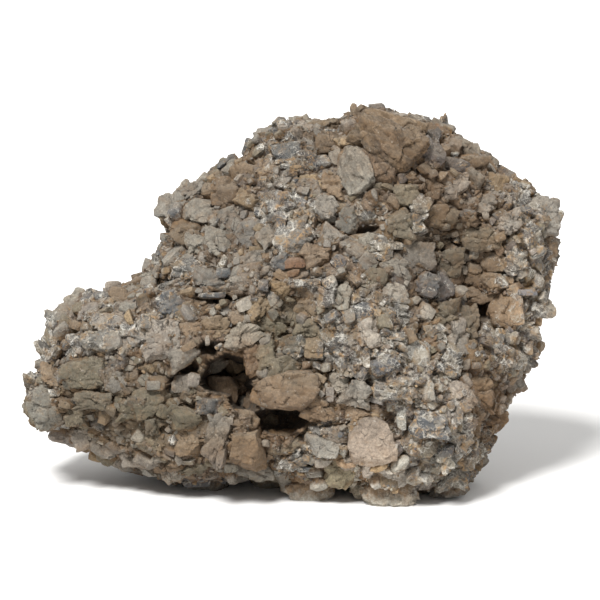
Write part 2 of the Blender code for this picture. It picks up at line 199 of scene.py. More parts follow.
def front_directions(points):
    """The directions whose body points lie at the given (a, b): the superellipse read backwards."""
    angle, distance = polar(points)
    away = np.clip(distance / reach(angle), 0, RIM_SHARE) ** (SQUARENESS / 2)
    return np.stack([away * np.cos(angle), away * np.sin(angle), np.sqrt(1 - away**2)], axis=1)


print("middle of the front, in mm:", body_points(np.array([[0.0, 0.0, 1.0]])).round(1))

# %% [markdown]
# ## Roughness in numbers
#
# Clay and broken stone are rough at every size. Value noise gives that: random numbers at the
# corners of a grid of cubes, blended smoothly in between. Adding it at halving sizes makes lumps
# with smaller lumps on them. The random numbers come from multiplying and folding the corner's whole
# numbers, so the same point always gets the same roughness.

# %% Value noise
# Large odd numbers without a pattern: one for each axis, one for the seed and one for the folding.
AXIS_MIXERS = (374761393, 668265263, 1442695041)
SEED_MIXER = 974634777
FOLD_MIXER = 1274126177
LOW_BITS = 0xFFFFFF


def corner_number(corners, seed):
    """A number from 0 to 1 for each whole-number corner, by mixing its bits."""
    mixed = (corners.astype(np.int64) * AXIS_MIXERS).sum(axis=-1) + seed * SEED_MIXER
    mixed = (mixed ^ (mixed >> 13)) * FOLD_MIXER
    return ((mixed ^ (mixed >> 16)) & LOW_BITS) / LOW_BITS


def value_noise(points, size, seed):
    """Corner numbers blended by 3f^2 - 2f^3 along each axis, from -1 to 1, with lumps of one size."""
    scaled = points / size
    base = np.floor(scaled)
    part = scaled - base
    part = part * part * (3 - 2 * part)
    total = np.zeros(points.shape[:-1])
    for corner in np.ndindex(2, 2, 2):
        offset = np.array(corner)
        weight = np.prod(np.where(offset, part, 1 - part), axis=-1)
        total += weight * corner_number(base + offset, seed)
    return total * 2 - 1


def rough(points, size, octaves, seed):
    """Value noise at halving sizes and halving heights."""
    total = np.zeros(points.shape[:-1])
    for octave in range(octaves):
        total += value_noise(points, size / 2**octave, seed + octave) / 2**octave
    return total


print("noise at two points:", value_noise(np.array([[0.0, 0.0, 0.0], [1.5, 2.5, 3.5]]), 4.0, 1).round(3))

# %% [markdown]
# ## Broken faces
#
# Frost breaks stone into pieces with flat faces. To get them on a surface, points are thrown into
# space, one to each cube of a grid, and every place on the surface belongs to the nearest. Each of
# these cells then gets a plane of its own tilt, and its border sinks into a crack. Space is stretched
# along one slanting line first, so the pieces come out long in places, like split slate.

# %% Cells with planes
STRETCH = np.array([[0.92, 0.30, -0.12], [-0.26, 1.18, 0.22], [0.18, -0.20, 0.86]])
CRACK_SHARE = 0.07
TILT_SEED = 10
STEP_SEED = 20


def nearest_cells(points, size, seed):
    """The cell that each point lies in, the way to its middle, and how much farther the next one is."""
    base = np.floor(points / size)
    nearest = np.full(points.shape[:-1], np.inf)
    second = nearest.copy()
    home = np.zeros_like(points)
    spot = np.zeros_like(points)
    for step in np.ndindex(3, 3, 3):
        corner = base + np.array(step) - 1
        thrown = np.stack([corner_number(corner, seed + axis) for axis in range(3)], axis=-1)
        place = (corner + thrown) * size
        distance = np.linalg.norm(points - place, axis=-1)
        closer = distance < nearest
        second = np.where(closer, nearest, np.minimum(second, distance))
        nearest = np.where(closer, distance, nearest)
        home = np.where(closer[..., None], corner, home)
        spot = np.where(closer[..., None], place, spot)
    return home, points - spot, second - nearest


def facets(points, size, seed, slope, step, crack):
    """Height step * number + slope * (way . tilt), less crack * exp(-(edge / width)^2) at borders."""
    home, way, edge = nearest_cells(points @ STRETCH, size, seed)
    tilt = [corner_number(home, seed + TILT_SEED + axis) * 2 - 1 for axis in range(3)]
    height = slope * (way * np.stack(tilt, axis=-1)).sum(axis=-1)
    height += step * (corner_number(home, seed + STEP_SEED) * 2 - 1)
    return height - crack * np.exp(-((edge / (CRACK_SHARE * size)) ** 2)), home


# %% [markdown]
# ## Caves
#
# Water has washed some of the clay out, and left two caves joined by a channel, a pit and a few
# cracks. They are ellipsoids on the picture plane with ragged rims. Cutting would leave open edges
# to close, so each point of the ground that lies inside one is pushed back to its far wall instead.
# Stones stay whole: one whose middle lies in a cave stands at the far wall, the others form the rim.

# %% Caves as ellipsoids
# (a, b, depth below the surface, half length, half width, half depth, lean).
HOLLOWS = (
    (-35, 63, 6, 13, 10.5, 26, 5),
    (-29, 55, 5, 14, 7, 23, -68),
    (-55, 67, 3, 4.5, 5, 12, 0),
    (-45, 76, 2, 4, 3, 9, 0),
    (-9, 41, 4, 14, 7.5, 21, 5),
    (20, 3, 2, 10, 5, 16, 0),
    (28, 62, 1, 15, 2.6, 5, -42),
    (45, 42, 1, 9, 2.0, 5, -52),
    (90, 95, 1, 4.5, 6.0, 9, 0),
    (30, 133.5, 1, 9, 2.2, 7, 12),
    (-43, 101, 1, 10, 2.2, 7, 0),
)
RIM_RAGGED = 1.5
RIM_LUMP = 6.0
RIM_SEED = 71
WALL_ROUGH = 2.2
WALL_LUMP = 7.0
WALL_SEED = 75
SUNK = 1.0


def hollow_places():
    """Centre depth of each cave: the body's depth there less how far it lies below."""
    rows = np.array(HOLLOWS, float)
    depth = body_points(front_directions(rows[:, :2]))[:, 2] - rows[:, 2]
    return rows, depth


def cave_share(points, row, widen=0.0):
    """1 - (along / length)^2 - (across / width)^2: above zero inside the cave's ellipse."""
    a, b, _, length, width, _, lean = row
    along, across = turned(points[..., 0], points[..., 1], a, b, lean)
    return 1 + widen - (along / length) ** 2 - (across / width) ** 2


def carve(points):
    """Inside a cave's ellipse, depth becomes at most centre - deep * sqrt(share), the rims ragged."""
    bends = [value_noise(points, RIM_LUMP, RIM_SEED + axis) for axis in range(3)]
    ragged = points + RIM_RAGGED * np.stack(bends, axis=-1)
    wall_rough = WALL_ROUGH * rough(points, WALL_LUMP, 2, WALL_SEED)
    for row, middle in zip(*hollow_places()):
        inside = cave_share(ragged, row)
        share = np.sqrt(np.clip(inside, 0, 1))
        wall = middle - row[5] * share + wall_rough * share
        in_cave = (inside > 0) & (points[..., 2] > wall)
        points[..., 2] = np.where(in_cave, wall, points[..., 2])
    return points


def sink(stones):
    """Stones whose middles lie in a cave stand at its far wall instead; the others form its rim."""
    centre = stones["centre"].copy()
    for row, middle in zip(*hollow_places()):
        share = np.sqrt(np.clip(cave_share(centre, row), 0, 1))
        wall = middle - row[5] * share
        in_cave = (share > 0) & (centre[:, 2] > wall)
        centre[:, 2] = np.where(in_cave, wall - SUNK, centre[:, 2])
    return {**stones, "centre": centre}


print("caves, pits and cracks:", len(HOLLOWS))

# %% [markdown]
# ## One grid for every closed shape
#
# A cube whose faces are ruled into squares and blown up into a ball has two parameters on each face
# and no poles. The same grid makes the clay, with many squares, and each stone, with few.

# %% The ruled cube
def cube_ball(steps):
    """Directions and square faces of a cube ruled into steps, its whole-number corners shared."""
    corners = []
    squares = []
    u, v = np.meshgrid(np.arange(steps + 1), np.arange(steps + 1), indexing="ij")
    for axis in range(3):
        for side in (0, steps):
            face = np.empty((steps + 1, steps + 1, 3), int)
            face[..., axis] = side
            face[..., (axis + 1) % 3] = u
            face[..., (axis + 2) % 3] = v
            index = np.arange((steps + 1) ** 2).reshape(steps + 1, steps + 1)
            square = np.stack([index[:-1, :-1], index[1:, :-1], index[1:, 1:], index[:-1, 1:]], axis=-1)
            square = square.reshape(-1, 4)
            squares.append((square if side else square[:, ::-1]) + len(corners) * (steps + 1) ** 2)
            corners.append(face.reshape(-1, 3))
    shared, index = np.unique(np.concatenate(corners), axis=0, return_inverse=True)
    centred = np.tan((shared / steps * 2 - 1) * math.pi / 4)
    return unit(centred), index.reshape(-1)[np.concatenate(squares)]


def make_mesh(name, points, squares):
    """A mesh object at the origin from frame points and square faces."""
    mesh = bpy.data.meshes.new(name)
    mesh.vertices.add(len(points))
    mesh.vertices.foreach_set("co", points.astype(np.float32).ravel())
    mesh.loops.add(squares.size)
    mesh.loops.foreach_set("vertex_index", squares.astype(np.int32).ravel())
    mesh.polygons.add(len(squares))
    mesh.polygons.foreach_set("loop_start", np.arange(0, squares.size, 4, dtype=np.int32))
    mesh.update(calc_edges=True)
    mesh.validate()
    mesh.shade_smooth()
    made = bpy.data.objects.new(name, mesh)
    bpy.context.scene.collection.objects.link(made)
    return made


def paint(piece, name, values):
    """Stores one number, or one colour with an alpha of one, on each vertex."""
    kind, key = ("FLOAT", "value") if values.ndim == 1 else ("FLOAT_COLOR", "color")
    if values.ndim == 2:
        values = np.concatenate([values, np.ones((len(values), 1))], axis=1)
    layer = piece.data.attributes.new(name, kind, "POINT")
    layer.data.foreach_set(key, values.astype(np.float32).ravel())


print("a ruled cube of 4 steps has", len(cube_ball(4)[1]), "faces")

# %% [markdown]
# ## Where the rock is stained, and where light and shade are painted
#
# The same bell shapes that raise the swells mark where the stones are brown with iron, green-grey
# with old algae, or furred with white and tan lime crust. They are smooth zones, a hand's width
# across, set from the front. The back, which nobody has seen, gets patches by chance.
# Other bells paint light and shade: stones are painted paler where more light should fall, and darker in
# hollows and shadows.

# %% Stain zones and zones of painted light
# (a, b, half length, half width, lean, strength), as for the swells.
# The row at (88, 108) darkens the right hollow: brown stain there, and painted shade.
BROWN_ZONES = (
    (62, 168, 48, 26, -25, 1.0), (88, 108, 20, 34, 15, 0.9), (-27, 30, 22, 14, 0, 0.9),
    (-24, 72, 10, 14, 0, 0.9), (-2, 106, 16, 9, 0, 0.9), (90, 50, 12, 24, 10, 0.8),
    (-45, 62, 18, 16, 0, 0.5), (-20, 160, 14, 12, 0, 0.5), (5, 48, 18, 8, 0, 0.7),
    (100, 40, 16, 24, 20, 0.6), (-75, 28, 40, 14, -15, 0.5),
)
OLIVE_ZONES = (
    (-70, 44, 34, 16, 0, 1.0), (-4, 84, 22, 16, -10, 1.0), (-104, 60, 16, 15, 0, 0.8),
    (60, 128, 26, 14, 0, 0.6), (-10, 60, 22, 9, 5, 0.5),
)
CRUST_ZONES = (
    (50, 66, 46, 15, -52, 1.6), (72, 22, 22, 20, 0, 1.6), (114, 100, 14, 46, 8, 1.4),
    (100, 78, 16, 14, 0, 1.0), (-6, 138, 12, 12, 0, 0.9), (-12, 174, 16, 14, 0, 0.9),
    (-5, 22, 13, 8, 0, 1.1), (-62, 113, 14, 9, 0, 0.8), (-126, 70, 10, 16, 0, 0.7),
    (22, 76, 14, 14, 0, 1.1), (14, 38, 14, 6, 0, 0.6), (110, 150, 16, 12, -30, 0.6),
    (-90, 90, 30, 12, 5, 0.6), (-104, 74, 14, 10, 0, 0.5), (-8, 146, 14, 16, -40, 0.6),
    (-18, 106, 10, 8, 30, 0.7), (-44, 95, 12, 8, 0, 0.6), (30, 96, 20, 12, -30, 0.8),
)
# Painted light and shade: above zero the stones there are painted paler, as if more light fell on them,
# and below it darker, as painted shade.
PAINTED_LIGHT_ZONES = (
    (45, 14, 36, 22, 0, 2.4), (2, 10, 16, 10, 0, 1.0), (70, 50, 24, 16, -40, 1.1),
    (50, 66, 40, 14, -50, 0.8), (112, 130, 22, 16, 60, 0.5), (-94, 34, 22, 10, -20, 0.4),
    (112, 90, 14, 40, 8, 1.8), (-35, 135, 34, 24, 20, -1.0), (-100, 65, 26, 22, 0, -0.5),
    (-5, 172, 14, 10, 0, -0.5), (86, 112, 20, 30, 15, -0.6), (60, 165, 40, 16, -20, -0.4),
    (-72, 50, 20, 20, 0, -0.25),
)
GROOVED_ZONES = ((40, 174, 30, 22, -20, 1.3),)
BROWN_SEED, OLIVE_SEED, CRUST_SEED, GROOVED_SEED = 5, 6, 8, 9
FRONT_FADE = 30.0
FRONT_SHIFT = 0.8
PATCH_LUMP = 46.0
PATCH_LEVEL = 0.35
EDGE_LUMP = 14.0
EDGE_BREAK = 0.35


def front_share(points):
    """Depth / fade + shift, kept from 0 to 1: 1 on the front and 0 on the back."""
    return np.clip(points[..., 2] / FRONT_FADE + FRONT_SHIFT, 0, 1)


def zone(points, rows, seed):
    """The zones' bells in front and patches behind, their edges broken by noise, from 0 to 1."""
    bells = swell(points[..., 0], points[..., 1], rows)
    patches = np.clip(PATCH_LEVEL + rough(points, PATCH_LUMP, 2, seed), 0, 1)
    front = front_share(points)
    amount = bells * front + patches * (1 - front)
    edge = EDGE_BREAK * rough(points, EDGE_LUMP, 2, seed + 7) * np.clip(amount * 2, 0, 1)
    return np.clip(amount + edge, 0, 1)


print("zones:", len(BROWN_ZONES), "brown,", len(OLIVE_ZONES), "olive and", len(CRUST_ZONES), "crusted")

# %% [markdown]
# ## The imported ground
#
# Between the stones that can be told apart, the rock is packed with broken stone of every size, stuck
# together with clay. It is the body surface, moved out and in by broken faces: pieces of a
# centimetre, some of them whole and some crushed to rubble of a few millimetres.

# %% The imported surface
GROUND_STEPS = 200
# Cell size, seed, slope of the faces, step from cell to cell and depth of the cracks between.
PIECES = (13.0, 101, 0.36, 1.9, 1.8)
RUBBLE = (6.0, 131, 0.45, 0.8, 0.8)
CRUMBS = (2.7, 161, 0.45, 0.4, 0.4)
CRUMBS_ON_WHOLE = 0.25
WHOLE_SHARE = 0.45
WHOLE_SEED = 190
RUBBLE_APART = 1000
LUMP_HEIGHT, LUMP_SIZE, LUMP_SEED = 1.2, 24.0, 11
SAND_HEIGHT, SAND_SIZE, SAND_SEED = 0.15, 1.3, 12
GROUND_LEVEL = 0.6


def ground_height(points):
    """Faces of whole pieces, or of rubble and crumbs, on soft lumps; and which cell gives the colour."""
    pieces, home = facets(points, *PIECES)
    rubble, rubble_home = facets(points, *RUBBLE)
    crumbs, _ = facets(points, *CRUMBS)
    whole = corner_number(home, WHOLE_SEED) < WHOLE_SHARE
    height = pieces + np.where(whole, CRUMBS_ON_WHOLE * crumbs, rubble + crumbs)
    height += LUMP_HEIGHT * rough(points, LUMP_SIZE, 2, LUMP_SEED)
    height += SAND_HEIGHT * value_noise(points, SAND_SIZE, SAND_SEED) + GROUND_LEVEL
    colour_home = np.where(whole[..., None], home, rubble_home + RUBBLE_APART)
    return height, colour_home, whole


def ground_points(directions):
    """Body points moved along their normals by the ground's height."""
    points = body_points(directions)
    normals = body_normals(directions)
    height, home, whole = ground_height(points)
    return points + normals * height[:, None], normals, home, whole


print("the ground stands", ground_height(np.zeros((1, 3)))[0].round(2), "mm proud at the picture's zero")

# %% [markdown]
# ## One stone
#
# A broken stone is what is left of a block when planes have split it. For a direction d from its
# middle, a plane with normal n at distance h is met at h / (n . d), and the nearest one bounds the
# stone. Taking the nearest softly, as a power mean, wears its edges. It gives a shape from two angles
# with no cutting at all, for thousands of stones at once.

# %% Planes of the stones
SHAPE_SEED = 4210
BLOCK_SEED = SHAPE_SEED + 100
BLOCK_FACES = 8
PEBBLE_FACES = 12
BLOCK_JITTER = 0.24
SIDE_REACH = (0.84, 1.0)
CORNER_REACH = (0.9, 1.08)
BOX_REACH = 1.04
MOST_PLANES = 14
NORMAL_SHARE = 0.55
DEPTH_SHARE = 0.92
ARRAYS = ("centre", "half", "axes", "planes")


def stone_planes(count, dice):
    """Normals over distances of one stone's planes: a cube's six sides, tilted, then its corners."""
    axes = np.concatenate([np.eye(3), -np.eye(3)])
    axes = unit(axes + dice.normal(0, BLOCK_JITTER, (6, 3)))
    corners = unit(dice.normal(0, 1, (count - 6, 3)))
    sides = dice.uniform(*SIDE_REACH, 6)
    reaches = np.concatenate([sides, dice.uniform(*CORNER_REACH, count - 6)])
    planes = np.zeros((MOST_PLANES, 3))
    planes[:count] = np.concatenate([axes, corners]) / reaches[:, None]
    return planes


def stone_frames(normals, leans, toward):
    """Axes of each stone: along its width, along its height and out of the rock."""
    out = unit(toward + NORMAL_SHARE * normals)
    turn = np.radians(leans)
    wide = np.stack([np.cos(turn), np.sin(turn), np.zeros_like(turn)], axis=1)
    high = unit(np.cross(out, wide))
    return np.stack([np.cross(high, out), high, out], axis=1)


def stone_set(places, axes, sizes, proud, planes, kinds):
    """One row each: the depth is DEPTH_SHARE * sqrt(width * height), and proud of it stands out."""
    width, height = sizes
    deep = DEPTH_SHARE * np.sqrt(width * height)
    centre = places + axes[:, 2] * (deep * (proud - 0.5))[:, None]
    half = np.stack([width, height, deep], axis=1) / 2
    return {
        "centre": centre, "half": half, "axes": axes, "planes": np.array(planes), "kinds": list(kinds)
    }


def join_sets(*sets):
    """Several sets of stones as one."""
    joined = {key: np.concatenate([each[key] for each in sets]) for key in ARRAYS}
    joined["kinds"] = [kind for each in sets for kind in each["kinds"]]
    return joined


print("planes of a stone, at most:", MOST_PLANES)

# %% [markdown]
# ## The stones that can be told apart
#
# These are set one by one on the picture plane, each with its width, height, lean and kind. The rounded
# ones, which a stream has rolled, have more planes than the broken ones, and later go part of the
# way to a ball.

# %% Stones of the front
BLOCK_PROUD = 0.36
PEBBLE_PROUD = 0.40

# (a, b, width, height, lean, kind).
PEBBLES = (
    (-125, 47, 18, 21, 25, "grey"), (1, 10, 27, 17, 0, "light"), (35, 31, 22, 25, 12, "buff"),
    (42, 6, 31, 13, 0, "buff"), (119, 144, 20, 19, -8, "grey"), (90, 131, 22, 14, -5, "olive"),
    (-66, 80, 22, 20, 15, "light"), (28, 163, 19, 26, -8, "grey"), (-50, 127, 12, 11, 0, "light"),
    (14, 177, 12, 10, 0, "brown"), (-40, 32, 26, 13, 75, "grey"), (71, 68, 19, 18, 0, "crust"),
    (75, 52, 20, 16, -10, "light"), (47, 103, 16, 10, -15, "light"), (89, 62, 12, 11, 0, "brown"),
    (90, 51, 12, 11, 0, "brown"), (85, 113, 11, 10, 0, "olive"), (-98, 80, 16, 10, 0, "light"),
    (-9, 29, 22, 11, 0, "olive"), (-23, 16, 17, 10, 0, "grey"), (43, 175, 34, 27, -20, "brown"),
    (66, 141, 12, 11, 0, "brown"), (60, 9, 17, 11, 0, "grey"), (20, 16, 15, 17, -20, "olive"),
    (-38, 55, 14, 13, 0, "brown"), (-117, 91, 18, 13, -10, "grey"), (47, 183, 35, 17, -14, "brown"),
    (-5, 56, 38, 20, -2, "brown"),
)
BLOCKS = (
    (-103, 93, 12, 8, 35, "grey"), (-94, 88, 14, 9, 0, "light"), (-111, 80, 10, 8, 0, "slate"),
    (-123, 62, 9, 10, 0, "brown"), (-106, 64, 22, 18, 12, "olive"), (-91, 60, 10, 14, 0, "grey"),
    (-133, 57, 8, 13, 0, "crust"), (-110, 43, 11, 10, 0, "olive"), (-107, 33, 12, 9, 0, "light"),
    (-98, 29, 14, 13, 0, "grey"), (-88, 32, 9, 9, 0, "grey"), (-88, 101, 12, 8, 0, "brown"),
    (-102, 99, 14, 8, 0, "slate"), (-82, 83, 11, 10, 0, "grey"), (-127, 73, 9, 16, 10, "crust"),
    (-83, 47, 11, 11, 0, "olive"), (-76, 50, 19, 14, 14, "olive"), (-71, 30, 14, 12, 0, "olive"),
    (-56, 30, 14, 11, 0, "brown"), (-83, 22, 13, 9, 0, "light"), (-62, 15, 10, 11, 0, "light"),
    (-50, 9, 15, 10, 0, "slate"), (-37, 12, 12, 9, 0, "slate"), (-67, 9, 10, 8, 0, "grey"),
    (-27, 41, 12, 9, 0, "brown"), (-26, 27, 21, 20, 0, "brown"), (-24, 48, 8, 13, -10, "brown"),
    (-63, 97, 13, 11, 0, "slate"), (-53, 83, 11, 11, 0, "brown"), (-57, 72, 15, 9, 25, "grey"),
    (-42, 85, 13, 9, 0, "brown"), (-45, 48, 11, 8, 0, "slate"), (-58, 59, 9, 9, 0, "grey"),
    (-30, 82, 16, 10, 35, "light"), (-22, 71, 12, 17, 0, "rust"), (-20, 97, 14, 10, 35, "tan"),
    (-17, 73, 12, 14, 0, "olive"), (-15, 87, 13, 10, -10, "olive"), (-8, 66, 18, 9, 20, "olive"),
    (9, 48, 20, 13, -12, "brown"), (-43, 109, 16, 10, 0, "grey"), (-45, 120, 11, 9, 0, "light"),
    (-28, 107, 11, 8, 0, "light"), (-20, 119, 20, 11, 38, "light"), (-25, 132, 14, 14, 0, "grey"),
    (-36, 140, 15, 11, 30, "light"), (-39, 128, 14, 13, 0, "light"), (-57, 134, 15, 11, 0, "brown"),
    (-64, 147, 13, 17, -10, "grey"), (-53, 157, 12, 8, 20, "grey"), (-50, 144, 17, 12, 0, "light"),
    (-36, 153, 16, 14, 0, "brown"), (-25, 150, 15, 10, 0, "tan"), (-26, 161, 17, 9, -20, "brown"),
    (-67, 128, 11, 12, 0, "grey"), (-70, 117, 10, 11, 0, "crust"), (-56, 114, 12, 10, 0, "crust"),
    (-5, 189, 13, 8, 0, "crust"), (-20, 177, 11, 11, 0, "slate"), (-7, 173, 13, 9, 0, "slate"),
    (3, 169, 12, 9, 0, "slate"), (-17, 165, 13, 10, 0, "brown"), (-16, 154, 14, 11, -40, "slate"),
    (-7, 143, 19, 17, -30, "cream"), (-2, 131, 17, 14, 15, "cream"), (12, 186, 14, 8, 0, "brown"),
    (6, 157, 11, 10, 0, "tan"), (17, 155, 10, 12, 0, "brown"), (12, 146, 12, 11, 0, "grey"),
    (24, 138, 9, 14, 0, "grey"), (16, 131, 11, 10, -30, "light"), (37, 143, 16, 12, 0, "crust"),
    (38, 167, 18, 20, -40, "brown"), (64, 178, 9, 15, -20, "slate"), (72, 182, 15, 9, -40, "rust"),
    (65, 189, 12, 7, 0, "brown"), (83, 178, 13, 9, -30, "grey"), (75, 166, 15, 10, 0, "slate"),
    (76, 156, 13, 11, 0, "light"), (87, 167, 12, 10, 0, "brown"), (65, 155, 13, 10, 0, "brown"),
    (52, 152, 14, 11, 0, "olive"), (58, 141, 10, 11, 0, "crust"), (49, 138, 11, 12, 0, "olive"),
    (89, 147, 15, 10, 0, "grey"), (97, 156, 11, 12, 0, "tan"), (108, 152, 13, 11, -30, "crust"),
    (104, 139, 11, 12, 0, "grey"), (112, 131, 14, 12, 0, "crust"), (108, 119, 13, 12, 0, "crust"),
    (74, 118, 13, 13, 0, "olive"), (95, 119, 12, 10, 0, "brown"), (96, 109, 12, 9, 0, "brown"),
    (88, 102, 13, 9, 0, "brown"), (121, 113, 12, 16, 10, "crust"), (126, 126, 7, 15, 0, "brown"),
    (117, 99, 13, 12, 0, "crust"), (111, 86, 13, 12, 0, "crust"), (113, 73, 11, 13, 15, "crust"),
    (99, 80, 13, 10, 0, "crust"), (107, 61, 10, 13, 20, "grey"), (100, 69, 12, 11, 0, "crust"),
    (6, 121, 15, 12, 0, "brown"), (-8, 119, 11, 9, 0, "slate"), (8, 110, 14, 10, 0, "crust"),
    (21, 101, 12, 11, 0, "light"), (-8, 108, 12, 9, 40, "tan"), (-6, 94, 15, 13, 0, "olive"),
    (5, 97, 11, 9, -30, "brown"), (4, 86, 12, 10, 0, "olive"), (-3, 76, 13, 11, 0, "slate"),
    (7, 77, 10, 10, 0, "tan"), (22, 75, 21, 22, 0, "crust"), (15, 90, 11, 12, -50, "crust"),
    (29, 118, 14, 10, -20, "grey"), (31, 128, 13, 8, -15, "light"), (42, 125, 13, 12, 0, "crust"),
    (58, 121, 14, 15, 0, "grey"), (48, 115, 13, 9, -30, "light"), (61, 108, 10, 10, 0, "slate"),
    (70, 104, 13, 11, -55, "slate"), (72, 93, 12, 12, 0, "olive"), (82, 89, 12, 17, 0, "olive"),
    (102, 95, 15, 17, 0, "brown"), (36, 110, 15, 10, 0, "olive"), (34, 93, 14, 11, -30, "slate"),
    (48, 93, 13, 11, 0, "crust"), (34, 83, 10, 9, 0, "light"), (46, 81, 13, 11, 0, "crust"),
    (57, 74, 14, 16, 0, "cream"), (42, 69, 13, 11, 0, "slate"), (48, 57, 16, 12, 0, "crust"),
    (65, 84, 13, 13, 0, "crust"), (18, 59, 9, 11, 0, "light"), (28, 54, 14, 13, 0, "grey"),
    (24, 45, 20, 9, 0, "brown"), (14, 38, 17, 10, 0, "crust"), (12, 28, 17, 11, -15, "grey"),
    (-5, 22, 22, 13, 0, "crust"), (46, 15, 14, 16, 0, "grey"), (57, 28, 14, 9, 0, "olive"),
    (62, 39, 20, 13, 0, "slate"), (51, 44, 9, 13, 0, "crust"), (78, 34, 13, 16, 0, "crust"),
    (69, 24, 14, 10, 0, "crust"), (76, 15, 15, 12, 0, "crust"), (86, 9, 9, 13, 0, "brown"),
    (71, 4, 16, 8, 0, "grey"), (87, 25, 12, 13, 0, "crust"), (85, 72, 11, 13, 0, "tan"),
    (86, 41, 11, 13, 0, "brown"), (96, 44, 11, 15, 20, "brown"), (93, 28, 9, 13, 10, "brown"),
    (-57, 42, 16, 11, -10, "olive"), (-101, 51, 15, 9, -5, "olive"), (-42, 69, 10, 8, 20, "grey"),
    (-33, 68, 9, 8, -30, "brown"), (-29, 59, 9, 8, 40, "brown"), (-26, 49, 9, 7, 0, "grey"),
    (-16, 40, 9, 7, 15, "olive"),
)


def front_stones(rows, faces, proud, first_seed):
    """Stones at (a, b) on the body, turned part of the way from the viewer to the surface's normal."""
    numbers = np.array([row[:5] for row in rows], float)
    directions = front_directions(numbers[:, :2])
    toward = np.tile([0.0, 0.0, 1.0], (len(rows), 1))
    axes = stone_frames(body_normals(directions), numbers[:, 4], toward)
    planes = [
        stone_planes(faces, np.random.default_rng(first_seed + index)) for index in range(len(rows))
    ]
    kinds = [row[5] for row in rows]
    return stone_set(body_points(directions), axes, numbers[:, 2:4].T, proud, planes, kinds)


pebbles = front_stones(PEBBLES, PEBBLE_FACES, PEBBLE_PROUD, SHAPE_SEED)
blocks = front_stones(BLOCKS, BLOCK_FACES, BLOCK_PROUD, BLOCK_SEED)
print("front:", len(PEBBLES), "rounded and", len(BLOCKS), "broken stones")

# %% [markdown]
# ## The back and the feet
#
# Nobody sees the back in a picture, but a tank has four glass sides. Its stones are thrown at random
# and kept apart, like darts that may not land too close. The feet are the stones that the rock rests
# on, and their ends are worn flat.

# %% Stones of the back and the feet
BACK_SEED = 77
BACK_FACES = 10
BACK_TRIES = 700
BACK_STONES = 92
BACK_FROM_RIM = 0.24
BACK_SPACING = 19.0
BACK_SIZES = (15.0, 31.0)
BACK_FLATNESS = (0.6, 1.0)
BACK_LEAN = (-60, 60)
BACK_KINDS = ("grey", "light", "brown", "olive", "crust", "grey", "light", "slate")
MIXED_KINDS = ("grey", "light", "brown", "olive", "tan", "slate", "crust")
MIXED_SHARES = (0.30, 0.22, 0.16, 0.10, 0.08, 0.06, 0.08)
FOOT_SINK = 3.0
FOOT_SEED = 900
FOOT_PROUD = 0.0
# (a, depth, width, height, lean).
FEET = (
    (44, 31, 30, 18, 0), (5, 22, 22, 16, 20), (74, 18, 20, 18, -20), (66, -30, 24, 19, 15),
    (26, -46, 26, 20, -10), (-20, -38, 24, 20, 30), (-46, -2, 22, 18, 0), (24, -8, 26, 22, 40),
    (-14, -8, 20, 18, 0), (58, -6, 20, 17, 60),
)


def back_directions():
    """Random directions away from the viewer, kept where the gap to those before is wide enough."""
    dice = np.random.default_rng(BACK_SEED)
    tries = unit(dice.normal(0, 1, (BACK_TRIES, 3)))
    tries[:, 2] = -np.abs(tries[:, 2])
    tries = tries[tries[:, 2] < -BACK_FROM_RIM]
    places = body_points(tries)
    kept = []
    for index in range(len(tries)):
        gaps = np.linalg.norm(places[kept] - places[index], axis=1)
        if not kept or gaps.min() > BACK_SPACING:
            kept.append(index)
    return tries[kept[:BACK_STONES]]


def back_stones():
    """Stones whose sizes and leans are thrown too, turned to face straight out."""
    directions = back_directions()
    normals = body_normals(directions)
    thrown, planes, kinds = [], [], []
    for index in range(len(directions)):
        dice = np.random.default_rng(BACK_SEED + 1 + index)
        width = dice.uniform(*BACK_SIZES)
        thrown.append((width, width * dice.uniform(*BACK_FLATNESS), dice.uniform(*BACK_LEAN)))
        planes.append(stone_planes(BACK_FACES, dice))
        kinds.append(BACK_KINDS[index % len(BACK_KINDS)])
    width, height, lean = np.array(thrown).T
    axes = stone_frames(normals, lean, normals)
    return stone_set(body_points(directions), axes, (width, height), BLOCK_PROUD, planes, kinds)


def foot_stones():
    """Stones whose outer ends lie a little below the ground, where they are pressed flat later."""
    a, depth, width, height, lean = np.array(FEET, float).T
    b = (GROUND - FOOT_SINK - depth * math.sin(VIEW_TILT)) / math.cos(VIEW_TILT)
    down = np.tile([0.0, -math.cos(VIEW_TILT), -math.sin(VIEW_TILT)], (len(FEET), 1))
    planes = [
        stone_planes(PEBBLE_FACES, np.random.default_rng(FOOT_SEED + index)) for index in range(len(FEET))
    ]
    places = np.stack([a, b, depth], axis=1)
    axes = stone_frames(down, lean, down)
    return stone_set(places, axes, (width, height), FOOT_PROUD, planes, ["grey"] * len(FEET))


back = back_stones()
feet = foot_stones()
print("back:", len(back["kinds"]), "stones, feet:", len(feet["kinds"]))

# %% [markdown]
# ## Smaller stones between them
#
# What is left of the surface is packed with smaller broken stones, then chips. They are thrown like
# the stones of the back, but each new one only has to fit between its neighbours.

